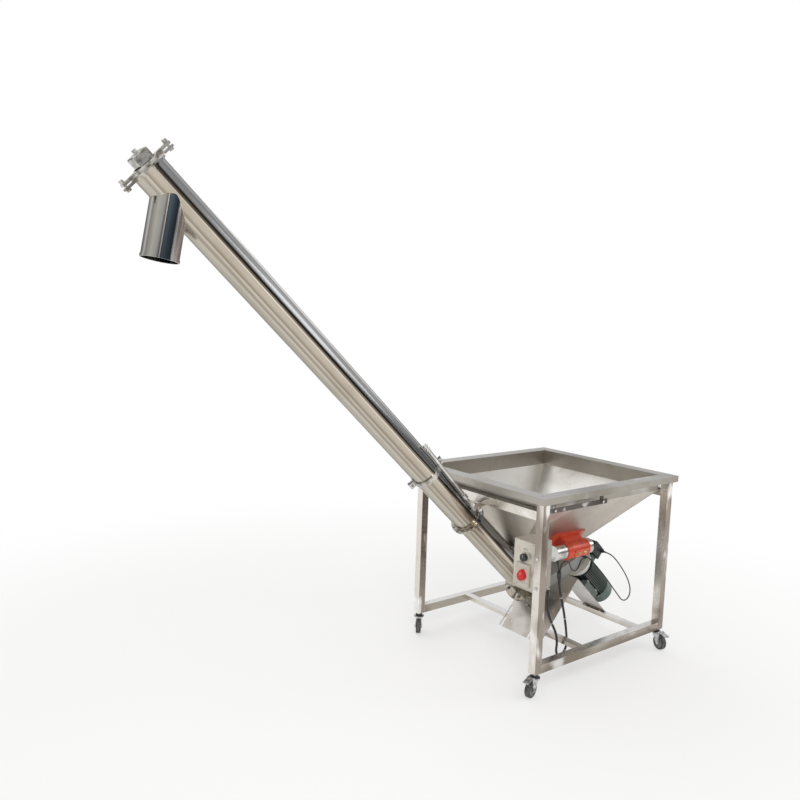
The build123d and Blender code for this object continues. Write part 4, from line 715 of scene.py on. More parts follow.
# ------------------------------------------------------------------ the machine's own places
@dataclass
class Machine:
    """What every sub-assembly needs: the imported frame, its places, the finishes and the tools."""

    frame: dict
    finishes: Finishes = field(default_factory=Finishes)

    def __post_init__(self) -> None:
        """Read the auger's axis and the frame's centre, and make the geometry tools."""
        self.joints = {joint["name"]: joint for joint in self.frame["joints"]}
        screw = self.joints["screw_turn"]
        self.foot, self.axis = Vector(screw["pos_m"]), Vector(screw["axis"]).normalized()
        self.side = Vector((0, -1, 0))
        self.up = self.axis.cross(self.side)
        low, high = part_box("bottom_rails")
        self.middle = Vector(((low.x + high.x) / 2, (low.y + high.y) / 2, 0))
        self.tube, self.beads, self.copies = ribbed_tube_work(), bead_work(), copies_work()

    def at(self, s: float, x: float = 0.0, h: float = 0.0) -> Vector:
        """Point s up the auger, x towards the control side and h square above, all in mm."""
        return self.foot + (self.axis * s + self.side * x + self.up * h) * MM

    def spot(self, point: Point) -> Vector:
        """Point given in metres from the middle of the frame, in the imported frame."""
        return self.middle + Vector(point)

    def dress(self, finishes: dict[str, object]) -> None:
        """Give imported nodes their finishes, by node name."""
        for name, finish in finishes.items():
            node = self.frame["nodes"][name]
            node.data.materials.clear()
            node.data.materials.append(self.finishes.get(finish))
            LOG.info("%s wears %s", name, finish.name)

    def fit(self, piece: bpy.types.Object, body: Body = Body.FRAME, slot: str | None = None) -> bpy.types.Object:
        """Make a finished piece ride on a body."""
        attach(piece, body.value)
        LOG.info("%s rides on %s", piece.name, body.value)
        return piece

    def weld(self, name: str, points: list[Vector], radius: float, closed: bool = False) -> bpy.types.Object:
        """Weld bead along points, with its radius in metres."""
        path = polyline(points, closed)
        made = self.beads.make(name, path, self.finishes.get(WELD), Radius=radius, Spacing=radius * 1.3)
        return self.fit(made, slot="frame_steel")

    def line(
        self, name: str, points: list[Vector], radius: float, finish: object, slot: str, step: float = 0.003,
        sides: int = 8,
    ) -> bpy.types.Object:
        """Plain round line along points.

        Args:
            name: Name of the piece.
            points: Its middle line.
            radius: Its radius in metres.
            finish: What it is made of.
            slot: Material slot; not used.
            step: Distance between its rings.
            sides: Number of facets round it.

        Returns:
            The piece.
        """
        made = self.tube.make(
            name, polyline(points), self.finishes.get(finish), Radius=radius, End_Radius=radius, Rib_Depth=0.0,
            Rib_Pitch=1.0, From=0.0, To=run_of(points), Step=step, Sides=sides,
        )
        return self.fit(made, slot=slot)

    def repeat(
        self, name: str, copy: bpy.types.Object, points: list[Vector], facing: list[Vector], finish: object,
        body: Body = Body.FRAME, slot: str = "fastener",
    ) -> bpy.types.Object:
        """Copies of an object on points.

        Args:
            name: Name of the piece that holds the copies.
            copy: Object that is copied and then removed.
            points: Where the copies stand.
            facing: Where each copy's own Z points.
            finish: What they are made of.
            body: Body that carries them.
            slot: Material slot; not used.

        Returns:
            The piece.
        """
        path = polyline(points, facing=facing)
        made = self.copies.make(name, path, self.finishes.get(finish), Copy=copy, Size=1.0)
        bpy.data.objects.remove(copy)
        return self.fit(made, body, slot)


def pan_screw(radius: float) -> bpy.types.Object:
    """Head of a pan screw that stands on the origin and faces Z, with a drive recess."""
    tall = radius * 0.6
    return lathe("pan_screw", [
        (0.0, -tall * 0.2), (radius, -tall * 0.2), (radius, tall * 0.35), (radius * 0.8, tall * 0.85),
        (radius * 0.45, tall), (radius * 0.3, tall), (radius * 0.25, tall * 0.4), (0.0, tall * 0.4),
    ], 14)


def hex_head(radius: float, tall: float) -> bpy.types.Object:
    """Head of a hexagon bolt on a washer, standing on the origin and facing Z."""
    low, high, wide = -0.2 * tall, 0.15 * tall, 1.25 * radius
    washer = lathe("hex_head", [(0, low), (wide, low), (wide, high), (0, high)], 18)
    head = lathe("head", [(0, 0), (radius, 0), (radius, tall * 0.85), (radius * 0.86, tall), (0, tall)], 6)
    joined = bmesh.new()
    joined.from_mesh(washer.data)
    joined.from_mesh(head.data)
    joined.to_mesh(washer.data)
    joined.free()
    bpy.data.objects.remove(head)
    return washer


# ------------------------------------------------------------------ cords
@dataclass
class Cord:
    """One cord: its route's points in metres from the frame's middle, and its radius."""

    name: str
    node: str
    route: list[Point]
    radius: float
    length: float

    def curve(self, machine: Machine, bevel: float) -> bpy.types.Object:
        """NURBS curve on the route, with a surface where bevel is above 0."""
        data = bpy.data.curves.new(self.name, "CURVE")
        data.dimensions = "3D"
        spline = data.splines.new("NURBS")
        spline.points.add(len(self.route) - 1)
        for point, place in zip(spline.points, self.route):
            point.co = (*machine.spot(place), 1.0)
        spline.order_u = 3
        spline.use_endpoint_u = True
        data.resolution_u = 16
        data.bevel_depth = bevel
        data.bevel_resolution = 4
        data.use_fill_caps = bevel > 0
        made = bpy.data.objects.new(self.name, data)
        bpy.context.scene.collection.objects.link(made)
        return made

    def line(self, machine: Machine) -> list[Vector]:
        """Points along the route's own smooth line."""
        bare = self.curve(machine, 0.0)
        mesh = bpy.data.meshes.new_from_object(bare.evaluated_get(bpy.context.evaluated_depsgraph_get()))
        points = [vertex.co.copy() for vertex in mesh.vertices]
        bpy.data.meshes.remove(mesh)
        bpy.data.objects.remove(bare)
        return points


def run_of(points: list[Vector]) -> float:
    """Length of a polyline."""
    return sum((after - before).length for before, after in zip(points, points[1:]))


@dataclass
class Cords:
    """Hose from the control box to its breakout boot, and the two cables that leave the boot."""

    machine: Machine
    hose: Cord = field(default_factory=lambda: Cord("hose", "conduit", [
        (-0.312, -0.331, 0.588), (-0.314, -0.338, 0.525), (-0.307, -0.340, 0.452), (-0.309, -0.336, 0.378),
        (-0.286, -0.327, 0.306), (-0.240, -0.314, 0.243), (-0.196, -0.302, 0.188), (-0.169, -0.291, 0.130),
        (-0.166, -0.283, 0.076), (-0.131, -0.272, 0.039), (-0.080, -0.258, 0.037), (-0.043, -0.246, 0.070),
        (-0.042, -0.238, 0.128), (-0.054, -0.236, 0.190), (-0.078, -0.241, 0.258), (-0.108, -0.248, 0.325),
        (-0.127, -0.250, 0.376), (-0.131, -0.249, 0.425),
    ], 0.006, 1.0727))
    motor: Cord = field(default_factory=lambda: Cord("motor_lead", "motor_cable", [
        (-0.12862, -0.24834, 0.45729), (-0.122, -0.247, 0.486), (-0.092, -0.242, 0.498), (-0.058, -0.236, 0.492),
        (-0.034, -0.230, 0.468), (-0.016, -0.225, 0.440), (0.014, -0.219, 0.423), (0.044, -0.214, 0.428),
        (0.062, -0.210, 0.447), (0.077, -0.206, 0.467), (0.098, -0.204, 0.476), (0.126, -0.206, 0.474),
        (0.152, -0.216, 0.452), (0.190, -0.224, 0.412), (0.241, -0.234, 0.358), (0.296, -0.243, 0.292),
        (0.340, -0.248, 0.244), (0.366, -0.250, 0.214), (0.400, -0.252, 0.204), (0.430, -0.252, 0.222),
        (0.436, -0.252, 0.258), (0.418, -0.252, 0.302), (0.386, -0.251, 0.350), (0.346, -0.250, 0.396),
        (0.312, -0.249, 0.432), (0.284, -0.243, 0.460), (0.26968, -0.222, 0.47435), (0.26968, -0.19035, 0.47435),
    ], 0.003, 1.0989))
    vibrator: Cord = field(default_factory=lambda: Cord("vibrator_lead", "vibrator_cable", [
        (-0.13859, -0.24836, 0.45648), (-0.141, -0.250, 0.480), (-0.141, -0.241, 0.506),
    ], 0.003, 0.0509))
    rib_depth: float = 0.0009
    rib_pitch: float = 0.0042
    relief_length: float = 0.022
    relief_share: float = 0.4
    ties: tuple[float, ...] = (0.14, 0.33, 0.62, 0.78, 0.9)

    def build(self) -> None:
        """Lay the cords and what sits on them."""
        machine = self.machine
        sheath = machine.finishes.get(SHEATH)
        self.lay_hose(sheath)
        for cord, ends in ((self.motor, (True, True)), (self.vibrator, (False, True))):
            lead = cord.curve(machine, cord.radius)
            lead.data.materials.append(sheath)
            reliefs = self.reliefs(cord, ends, cord.radius + 0.0024)
            self.declare(lead, cord)
        machine.dress({"cable_clips": SHEATH})

    def lay_hose(self, sheath: bpy.types.Material) -> None:
        """Corrugated hose, with its sleeves and ties."""
        points = self.hose.line(self.machine)
        radius, whole = self.hose.radius, run_of(points)
        hose = self.machine.tube.make(
            "hose", polyline(points), sheath, Radius=radius, End_Radius=radius, Rib_Depth=self.rib_depth,
            Rib_Pitch=self.rib_pitch, From=0.0, To=whole, Step=self.rib_pitch / 6, Sides=14,
        )
        pieces = self.reliefs(self.hose, (True, True), radius + 0.003)
        for index, share in enumerate(self.ties):
            start = whole * share
            tie = self.machine.tube.make(
                f"hose_tie_{index + 1}", polyline(points), self.machine.finishes.get(TIE), Radius=radius + 0.0009,
                End_Radius=radius + 0.0009, Rib_Depth=0.0, Rib_Pitch=1.0, From=start, To=start + 0.0036,
                Step=0.0012, Sides=16,
            )
            pieces.append(self.machine.fit(tie, slot="cable"))
        self.declare(hose, self.hose)

    def reliefs(self, cord: Cord, ends: tuple[bool, bool], radius: float) -> list[bpy.types.Object]:
        """Tapered, ribbed sleeves at the chosen ends of a cord."""
        points = cord.line(self.machine)
        whole, made = run_of(points), []
        thin, reach = cord.radius + 0.0005, min(self.relief_length, whole * self.relief_share)
        for place, wanted, span, first, last in (
            ("start", ends[0], (0.0, reach), radius, thin), ("end", ends[1], (whole - reach, whole), thin, radius),
        ):
            if wanted:
                sleeve = self.machine.tube.make(
                    f"{cord.name}_sleeve_{place}", polyline(points), self.machine.finishes.get(SHEATH), Radius=first,
                    End_Radius=last, Rib_Depth=0.0006, Rib_Pitch=0.0036, From=span[0], To=span[1], Step=0.0006,
                    Sides=20,
                )
                made.append(self.machine.fit(sleeve, slot="cable"))
        return made

    def declare(self, piece: bpy.types.Object, cord: Cord) -> None:
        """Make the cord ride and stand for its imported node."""
        self.machine.fit(piece, slot="cable")
        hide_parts(cord.node)
        tuple(self.machine.spot(cord.route[0]))
        2 * cord.radius


# ------------------------------------------------------------------ sub-assemblies
@dataclass
class WheeledFrame:
    """Legs, rails, crossbeams and their fasteners."""

    machine: Machine
    bead: float = 0.0011

    def build(self) -> None:
        """Dress the frame and weld its corners."""
        corners = ("front_left", "rear_left", "front_right", "rear_right")
        self.machine.dress({f"leg_{corner}": LEG_STEEL for corner in corners})
        self.machine.dress({
            "bottom_rails": RAIL_STEEL, "crossbeams": RAIL_STEEL, "rail_rear": RAIL_STEEL, "rail_front": RAIL_STEEL,
            "side_bar": BAR_STEEL, "hex_bolts": FASTENER,
        })
        for corner in corners:
            leg_low, leg_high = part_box(f"leg_{corner}")
            rail_low, rail_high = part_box("bottom_rails")
            x = leg_high.x if corner.startswith("front") else leg_low.x
            middle = (leg_low.y + leg_high.y) / 2 - self.machine.middle.y
            for y in (leg_low.y, leg_high.y):
                foot, head = Vector((x, y, rail_low.z)), Vector((x, y, rail_high.z))
                side = "outer" if abs(y - self.machine.middle.y) > abs(middle) else "inner"
                self.machine.weld(f"weld_{corner}_{side}", [foot, head], self.bead)


@dataclass
class HopperBody:
    """Square hopper, with its corner seams inside and out."""

    machine: Machine
    opening: tuple[float, float] = (0.841, 0.761)
    sheet: float = 0.002
    band_bottom: float = 0.820
    outlet: tuple[float, float] = (186.0, 121.0)
    outlet_s: float = 275.0
    outlet_h: float = 69.0
    bead: float = 0.0012

    def build(self) -> None:
        """Dress the hopper and run its seams."""
        machine = self.machine
        machine.dress({"hopper": HOPPER_STEEL})
        for name, skin in (("inner", 0.0), ("outer", self.sheet)):
            for index, (along, across) in enumerate(((-1, -1), (-1, 1), (1, -1), (1, 1))):
                top = machine.middle + Vector((
                    along * (self.opening[0] / 2 + skin), across * (self.opening[1] / 2 + skin), self.band_bottom,
                ))
                out = machine.at(
                    self.outlet_s - along * (self.outlet[0] / 2 + skin / MM),
                    -across * (self.outlet[1] / 2 + skin / MM), self.outlet_h,
                )
                machine.weld(f"seam_{name}_{index + 1}", [top, top.lerp(out, 0.97)], self.bead)


@dataclass
class Conveyor:
    """Tube, spout, head, clamp, stay, screw and foot bearing."""

    machine: Machine
    tube_radius: float = 66.5
    spout_radius: float = 65.0
    spout_s: float = 2665.0
    spout_lean: float = 10.0
    joint_s: float = 708.0
    ring_half: float = 7.5
    ring_bead: float = 0.0015
    bead_rise: float = 0.4
    bead: float = 0.0017
    sight: tuple[float, float] = (-0.35, -0.937)

    def build(self) -> None:
        """Dress the conveyor and weld its spout and rings."""
        machine = self.machine
        # The tube's band list is painted highlight and painted reflection: white glints, dark lines and brown mirrored
        # ground.
        tube = RolledTube(
            "tube_steel", tuple(machine.foot), tuple(machine.axis), tuple(machine.up), tuple(machine.side), (
                (0, (0.6, 0.6, 0.6)), (30, (0.5, 0.5, 0.5)), (38, WHITE), (46, WHITE), (50, (0.12, 0.12, 0.12)),
                (54, (0.5, 0.5, 0.51)), (66, (0.24, 0.25, 0.26)), (80, (0.36, 0.36, 0.36)), (84, (0.03, 0.028, 0.026)),
                (90, (0.05, 0.043, 0.035)), (93, (0.4, 0.33, 0.25)), (95, (0.06, 0.05, 0.04)),
                (97.5, (0.95, 0.89, 0.79)), (101, (0.58, 0.52, 0.44)), (116, (0.52, 0.46, 0.38)),
                (126, (0.3, 0.26, 0.2)), (130, (0.62, 0.57, 0.49)), (143, (0.36, 0.32, 0.26)),
                (146, (0.58, 0.54, 0.47)),
                (162, (0.52, 0.49, 0.42)), (174, (0.42, 0.38, 0.32)), (180, (0.08, 0.07, 0.06)),
            ),
        )
        lean = math.radians(self.spout_lean)
        down = Vector((-math.sin(lean), 0, -math.cos(lean)))
        sight = Vector((self.sight[0], self.sight[1], 0))
        sight = (sight - down * sight.dot(down)).normalized()
        right = sight.cross(down)
        # The spout's band list is painted highlight and painted reflection: white glints with blue-grey and dark
        # mirrored bands.
        spout = RolledTube(
            "spout_steel", tuple(machine.at(self.spout_s)), tuple(down), tuple(right), tuple(sight), (
                (0, (0.25, 0.22, 0.23)), (14, (0.42, 0.38, 0.4)), (47, (0.56, 0.53, 0.52)), (50, WHITE), (56, WHITE),
                (59, (0.08, 0.1, 0.13)), (70, (0.12, 0.16, 0.21)), (84, (0.15, 0.19, 0.24)), (89, (0.05, 0.055, 0.06)),
                (91, PALE), (94, (0.12, 0.12, 0.12)), (102, (0.42, 0.41, 0.38)), (118, (0.55, 0.53, 0.48)),
                (138, (0.3, 0.29, 0.28)), (146, PALE), (152, GREY), (165, (0.12, 0.12, 0.12)), (180, (0.4, 0.38, 0.36)),
            ), 0.14,
        )
        machine.dress({"inlet_tube": tube, "upper_tube": tube, "spout": spout})
        head = ("head_cover", "head_bearing", "head_yoke", "yoke_bolts", "tube_clamp")
        machine.dress({name: HEAD_STEEL for name in head})
        machine.dress({
            "stay_rod": STAY_STEEL, "screw": SCREW_STEEL, "foot_cover": BEARING, "foot_bearing": BEARING,
            "tie_rods": FASTENER,
        })
        machine.weld("weld_spout", self.spout_seam(down), self.bead, closed=True)
        self.ring_welds()

    def spout_seam(self, down: Vector) -> list[Vector]:
        """Line in which the spout's wall meets the tube's."""
        machine = self.machine
        start, first = machine.at(self.spout_s), Vector((0, 1, 0))
        second = down.cross(first)
        spout, tube = self.spout_radius * MM, self.tube_radius * MM
        points = []
        for index in range(96):
            turn = 2 * math.pi * index / 96
            base = (first * math.cos(turn) + second * math.sin(turn)) * spout
            across_base = base - machine.axis * base.dot(machine.axis)
            across_down = down - machine.axis * down.dot(machine.axis)
            a = across_down.length_squared
            b = 2 * across_base.dot(across_down)
            c = across_base.length_squared - tube**2
            reach = (-b + math.sqrt(max(b * b - 4 * a * c, 0.0))) / (2 * a)
            points.append(start + base + down * reach)
        return points

    def ring_welds(self) -> None:
        """Welds where the joint rings sit on the tube."""
        machine = self.machine
        for name, s in (("low", self.joint_s - self.ring_half), ("high", self.joint_s + self.ring_half)):
            turns = [2 * math.pi * index / 72 for index in range(72)]
            radius = self.tube_radius + self.bead_rise
            points = [machine.at(s, radius * math.sin(turn), radius * math.cos(turn)) for turn in turns]
            machine.weld(f"weld_ring_{name}", points, self.ring_bead, closed=True)


@dataclass
class Drive:
    """Motor, gearhead, chain drive and the plates that carry them."""

    machine: Machine
    motor_x: float = 133.35
    motor_h: float = 230.97
    flange_s: float = 38.0
    flange_bolts: float = 71.0
    cowl_radius: float = 70.0
    cowl_s: float = -190.0
    lid: tuple[float, float, float, float] = (-45.0, 36.0, 45.0, 378.0)
    lid_depth: float = 9.0
    lid_inset: float = 9.0

    def build(self) -> None:
        """Dress the drive and add its screws and gasket."""
        machine = self.machine
        machine.dress({name: CHAIN for name in ("screw_sprocket", "drive_sprocket", "drive_chain")})
        fins = FinnedPaint("motor_paint", tuple(machine.at(0, self.motor_x, self.motor_h)), tuple(machine.axis))
        machine.dress({
            "output_shaft": SCREW_STEEL, "chain_case": CASE, "motor_plate": PLATE_STEEL, "motor_base": PLATE_STEEL,
            "gearhead": GEARHEAD, "motor_body": fins, "motor_rotor": BEARING, "fan_cowl": COWL,
            "terminal_box": TERMINAL,
        })
        turns = [math.radians(45 + 90 * index) for index in range(4)]
        spots = [machine.at(self.flange_s, self.motor_x + self.flange_bolts * math.sin(turn),
                            self.motor_h + self.flange_bolts * math.cos(turn)) for turn in turns]
        machine.repeat("flange_bolts", hex_head(0.0065, 0.005), spots, [machine.axis * -1] * 4, FASTENER)
        outward = [machine.side * math.sin(turn) + machine.up * math.cos(turn) for turn in turns]
        centre = machine.at(self.cowl_s, self.motor_x, self.motor_h)
        rims = [centre + way * (self.cowl_radius * MM) for way in outward]
        machine.repeat("cowl_screws", pan_screw(0.004), rims, outward, FASTENER)
        self.lid_trim()

    def lid_trim(self) -> None:
        """Gasket line and lid screws of the terminal box."""
        machine = self.machine
        low, high, half, top = self.lid
        corners = [(s, x) for s, x in ((low, -half), (high, -half), (high, half), (low, half))]
        seam = [machine.at(s, self.motor_x + x, top - self.lid_depth) for s, x in corners]
        gasket = rounded_loop(seam, 0.006)
        machine.line("terminal_gasket", gasket + gasket[:1], 0.0009, INK, "terminal_plastic")
        inset = self.lid_inset
        spots = [
            machine.at(s - math.copysign(inset, s), self.motor_x + x - math.copysign(inset, x), top)
            for s, x in corners
        ]
        machine.repeat("terminal_screws", pan_screw(0.0035), spots, [machine.up] * 4, FASTENER)


def rounded_loop(corners: list[Vector], radius: float, steps: int = 5) -> list[Vector]:
    """Closed outline with its corners rounded.

    Args:
        corners: Corner points in order.
        radius: Distance from each corner at which its curve starts.
        steps: Points on each curve.

    Returns:
        The points in order, not repeating the first.
    """
    points = []
    for before, corner, after in zip(corners[-1:] + corners[:-1], corners, corners[1:] + corners[:1]):
        start = corner + (before - corner).normalized() * radius
        end = corner + (after - corner).normalized() * radius
        for step in range(steps + 1):
            t = step / steps
            points.append(start * (1 - t) ** 2 + corner * (2 * t * (1 - t)) + end * t**2)
    return points


@dataclass
class Vibrator:
    """Orange vibrator under the hopper's wall."""

    machine: Machine
    centre: Point = (-0.037, -0.241, 0.552)
    radius: float = 0.042
    front: float = 0.049
    screw_xs: tuple[float, float] = (-0.040, 0.004)
    rib_xs: tuple[float, ...] = (-0.098, -0.080, 0.030, 0.041)
    ring_reach: float = 0.040
    droop: float = 12.0

    def build(self) -> None:
        """Dress the vibrator and add its cover, screws and ring."""
        machine = self.machine
        machine.dress({"vibrator_body": VIBRATOR, "vibrator_caps": CAP, "vibrator_rotor": BEARING})
        tilt = math.radians(self.droop)
        out = Vector((0, -math.cos(tilt), -math.sin(tilt)))
        centre = machine.spot(self.centre)
        middle_x = machine.middle.x + sum(self.screw_xs) / 2
        cover_place = Vector((middle_x, centre.y, centre.z)) + out * self.radius
        cover = slab("vibrator_cover", (0.092, 0.036, 0.007), 0.002)
        settle(cover, basis(cover_place, out, Vector((1, 0, 0))), machine.finishes.get(VIBRATOR))
        machine.fit(cover, slot="vibrator_paint")
        rise = out * (self.radius + 0.0035)
        spots = [Vector((machine.middle.x + x, centre.y, centre.z)) + rise for x in self.screw_xs]
        machine.repeat("vibrator_screws", pan_screw(0.0085), spots, [out] * 2, PASSIVATED)
        self.ribs(centre)
        turns = [2 * math.pi * index / 48 for index in range(49)]
        x, reach = machine.middle.x + self.front + 0.002, self.ring_reach
        ring = [Vector((x, centre.y + reach * math.cos(turn), centre.z + reach * math.sin(turn))) for turn in turns]
        machine.line("vibrator_ring", ring, 0.0026, CAP, "vibrator_cap", 0.005, 10)

    def ribs(self, centre: Vector) -> None:
        """Raised ribs round the casting, below its saddle."""
        machine, saddle = self.machine, Vector((0, 0.6, 0.8))
        for index, x in enumerate(self.rib_xs):
            outward = [Vector((0, -math.cos(turn), math.sin(turn))) for turn in map(math.radians, range(-150, 151, 6))]
            place = Vector((machine.middle.x + x, centre.y, centre.z))
            points = [place + way * self.radius for way in outward if way.dot(saddle) < 0.5]
            machine.line(f"vibrator_rib_{index + 1}", points, 0.0022, VIBRATOR, "vibrator_paint", 0.004)


@dataclass
class ControlBox:
    """Box on the leg, with its panel, speed dial and isolator."""

    machine: Machine
    dial_radius: float = 0.0265
    marks: int = 11
    sweep: float = 270.0
    screw_inset: float = 0.008

    def build(self) -> None:
        """Dress the box and add its scale, trim and screws."""
        machine = self.machine
        machine.dress({
            "control_box": BOX_STEEL, "control_panel": BOX_STEEL, "speed_drive": DRIVE, "switch_plate": SWITCH,
            "speed_knob": KNOB_BLACK, "isolator_knob": KNOB_RED,
        })
        self.scale()
        self.trim("control_panel", "panel", 0.0009)
        self.trim("switch_plate", "switch", 0.0007)
        self.pointer()

    def scale(self) -> None:
        """Dial plate with its marks, and two plain bars above it."""
        machine = self.machine
        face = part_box("control_panel")[0].x
        centre = Vector(machine.joints["speed_dial_turn"]["pos_m"])
        centre.x = face
        out = Vector((-1, 0, 0))
        wide, thick = self.dial_radius, 0.0008
        plate = lathe("dial_plate", [(0.0, 0.0), (wide, 0.0), (wide, thick), (0.0, thick)], 40)
        settle(plate, basis(centre, out, Vector((0, 1, 0))), machine.finishes.get(SWITCH))
        machine.fit(plate, slot="switch_plastic")
        start = math.radians(90 + self.sweep / 2)
        turns = [start - math.radians(self.sweep) * index / (self.marks - 1) for index in range(self.marks)]
        rays = [Vector((0, math.cos(turn), math.sin(turn))) for turn in turns]
        spots = [centre + out * 0.0009 + ray * 0.0222 for ray in rays]
        mark = slab("mark", (0.0009, 0.0009, 0.0048), 0.0001)
        machine.repeat("dial_marks", mark, spots, rays, INK, slot="knob_black")
        for index, rise in enumerate((0.034, 0.040)):
            bar = slab(f"panel_bar_{index + 1}", (0.03 - 0.01 * index, 0.0016, 0.0008), 0.0002)
            settle(bar, basis(centre + Vector((0, 0, rise)), out, Vector((0, 1, 0))), machine.finishes.get(INK))
            machine.fit(bar, slot="knob_black")

    def trim(self, node: str, name: str, radius: float) -> None:
        """Rolled edge and corner screws of a plate on the box's front."""
        machine = self.machine
        low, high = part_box(node)
        out = Vector((-1, 0, 0))
        sides = ((low.y, low.z), (high.y, low.z), (high.y, high.z), (low.y, high.z))
        edge = rounded_loop([Vector((low.x, y, z)) for y, z in sides], 0.005)
        machine.line(f"{name}_edge", edge + edge[:1], radius, BEARING, "box_steel")
        centre, inset = (low + high) / 2, self.screw_inset
        spots = [
            Vector((low.x, y - math.copysign(inset, y - centre.y), z - math.copysign(inset, z - centre.z)))
            for y, z in sides
        ]
        machine.repeat(f"{name}_screws", pan_screw(0.0032), spots, [out] * 4, FASTENER)

    def pointer(self) -> None:
        """Pale line on the speed knob and a raised grip line on the isolator."""
        machine = self.machine
        for name, node, joint, body, reach, finish in (
            ("dial_pointer", "speed_knob", "speed_dial_turn", Body.DIAL, 0.0075, TIE),
            ("isolator_mark", "isolator_knob", "isolator_turn", Body.ISOLATOR, 0.012, TIE),
        ):
            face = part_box(node)[0].x
            centre = Vector(machine.joints[joint]["pos_m"])
            place = Vector((face, centre.y, centre.z + reach))
            line = slab(name, (0.0016, 0.013, 0.0008), 0.0002)
            settle(line, basis(place, Vector((-1, 0, 0)), Vector((0, 1, 0))), machine.finishes.get(finish))
            machine.fit(line, body, "switch_plastic")


@dataclass
class Casters:
    """Four swivelling casters, two of them braked."""

    machine: Machine

    def build(self) -> None:
        """Dress the casters."""
        machine = self.machine
        machine.dress({"caster_stems": KNOB_BLACK})
        for corner in ("front_left", "rear_left", "front_right", "rear_right"):
            roller = machine.joints[f"roller_{corner}_turn"]
            wheel = RollerRubber(f"wheel_{corner}_rubber", tuple(roller["pos_m"]), tuple(roller["axis"]))
            machine.dress({f"fork_{corner}": ZINC, f"wheel_{corner}": wheel})
        machine.dress({f"pedal_{corner}": ZINC for corner in ("front_left", "rear_left")})


# ------------------------------------------------------------------ stage
@dataclass
class Viewpoint:
    """Camera in the place and with the turn of the view wanted."""

    place: Point = (-2.9189, -2.6134, 1.6767)
    yaw: float = 52.82
    pitch: float = -6.61
    roll: float = 1.81
    lens: float = 34.515
    sensor: float = 36.0

    def build(self, machine: Machine) -> bpy.types.Object:
        """Make the scene's camera."""
        yaw, pitch, roll = (math.radians(angle) for angle in (self.yaw, self.pitch, self.roll))
        ahead = Vector((math.cos(yaw) * math.cos(pitch), math.sin(yaw) * math.cos(pitch), math.sin(pitch)))
        level = Vector((math.sin(yaw), -math.cos(yaw), 0))
        above = level.cross(ahead)
        right = level * math.cos(roll) + above * math.sin(roll)
        top = above * math.cos(roll) - level * math.sin(roll)
        data = bpy.data.cameras.new("camera")
        data.lens, data.sensor_width = self.lens, self.sensor
        data.clip_end = 200.0
        camera = bpy.data.objects.new("camera", data)
        bpy.context.scene.collection.objects.link(camera)
        turned = Matrix((right, top, ahead * -1)).transposed().to_4x4()
        camera.matrix_world = Matrix.Translation(machine.spot(self.place)) @ turned
        bpy.context.scene.camera = camera
        return camera


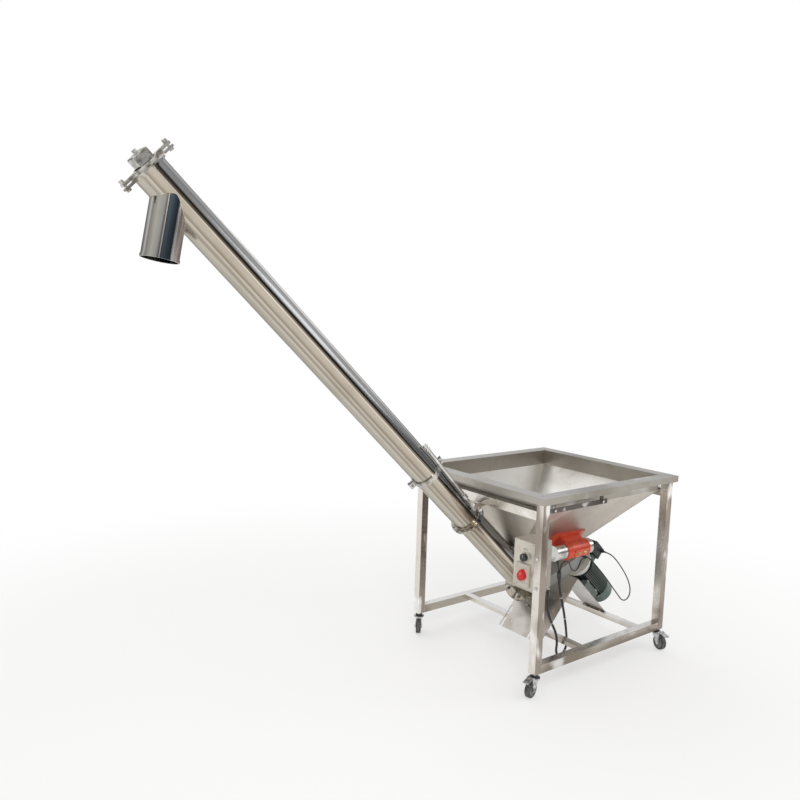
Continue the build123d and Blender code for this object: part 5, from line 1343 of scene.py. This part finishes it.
@dataclass
class Studio:
    """Pale floor, soft boxes and an even sky."""

    floor_size: float = 60.0
    floor_tone: Colour = (0.9, 0.895, 0.885)
    glow: float = 0.5
    fade: tuple[float, float] = (1.6, 3.6)
    boxes: tuple[tuple[Point, float, float], ...] = (
        ((-3.2, -3.4, 4.6), 2.6, 85.0), ((3.8, -3.2, 3.6), 2.4, 42.0), ((0.5, 3.8, 4.4), 3.0, 40.0),
    )
    sky: tuple[tuple[float, Colour], ...] = (
        (0.0, (0.7, 0.67, 0.62)), (0.46, (0.55, 0.51, 0.46)), (0.5, (0.12, 0.11, 0.1)), (0.56, (0.2, 0.2, 0.2)),
        (0.63, (0.72, 0.72, 0.72)), (1.0, (0.8, 0.8, 0.8)),
    )

    def build(self, machine: Machine) -> None:
        """Lay the floor, hang the lights and paint the sky."""
        half = self.floor_size / 2
        mesh = bpy.data.meshes.new("floor")
        mesh.from_pydata([(-half, -half, 0), (half, -half, 0), (half, half, 0), (-half, half, 0)], [], [(0, 1, 2, 3)])
        floor = added("floor", mesh)
        mesh.materials.append(self.floor_paint())
        for index, (place, size, power) in enumerate(self.boxes):
            data = bpy.data.lights.new(f"soft_box_{index + 1}", "AREA")
            data.shape, data.size, data.energy = "SQUARE", size, power
            light = bpy.data.objects.new(data.name, data)
            bpy.context.scene.collection.objects.link(light)
            light.location = machine.spot(place)
            aim = machine.spot((-0.4, 0.0, 0.7)) - light.location
            light.rotation_euler = aim.to_track_quat("-Z", "Y").to_euler()
        self.paint_sky()
        bpy.context.scene.view_settings.view_transform = "Standard"

    def floor_paint(self) -> bpy.types.Material:
        """Pale paint that turns into an even white glow away from the machine."""
        shader = Shader("floor_paint")
        away = shader.node("ShaderNodeVectorMath", {"operation": "LENGTH"}, {0: shader.place}, "Value")
        glow = self.glow + shader.window(away, *self.fade) * (1 - self.glow)
        values = {"Base Color": (*self.floor_tone, 1.0), "Roughness": 0.75}
        paint = shader.node("ShaderNodeBsdfPrincipled", values=values)
        white = shader.node("ShaderNodeEmission", values={"Strength": 1.0})
        shader.node_out(shader.node("ShaderNodeMixShader", values={0: glow, 1: paint, 2: white}))
        return shader.material

    def paint_sky(self) -> None:
        """World that is white behind the machine and graded where metal mirrors it."""
        world = bpy.data.worlds.new("sky")
        world.use_nodes = True
        tree = Tree(world.node_tree)
        ray = tree.node("ShaderNodeTexCoord", output="Generated")
        height = tree.node("ShaderNodeSeparateXYZ", values={0: ray}, output="Z") * 0.5 + 0.5
        tone = tree.node("ShaderNodeValToRGB", {"stops": list(self.sky)}, {0: height})
        seen = tree.node("ShaderNodeLightPath", output="Is Camera Ray")
        graded = tree.node("ShaderNodeBackground", values={"Color": tone, "Strength": 1.0})
        plain = tree.node("ShaderNodeBackground", values={"Color": (1, 1, 1, 1), "Strength": 1.0})
        mixed = tree.node("ShaderNodeMixShader", values={0: seen, 1: graded, 2: plain})
        out = world.node_tree.nodes.new("ShaderNodeOutputWorld")
        world.node_tree.links.new(mixed.socket, out.inputs["Surface"])
        bpy.context.scene.world = world


def main() -> None:
    """Build the looks in order."""
    logging.basicConfig(level=logging.INFO, format="%(name)s: %(message)s")
    for existing in list(bpy.data.objects):
        bpy.data.objects.remove(existing)
    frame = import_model()
    machine = Machine(frame)
    Viewpoint().build(machine)
    Cords(machine).build()
    for part in (WheeledFrame, HopperBody, Conveyor, Drive, Vibrator, ControlBox, Casters):
        part(machine).build()
        LOG.info("%s is done", part.__name__)
    Studio().build(machine)


if __name__ == "__main__":
    main()
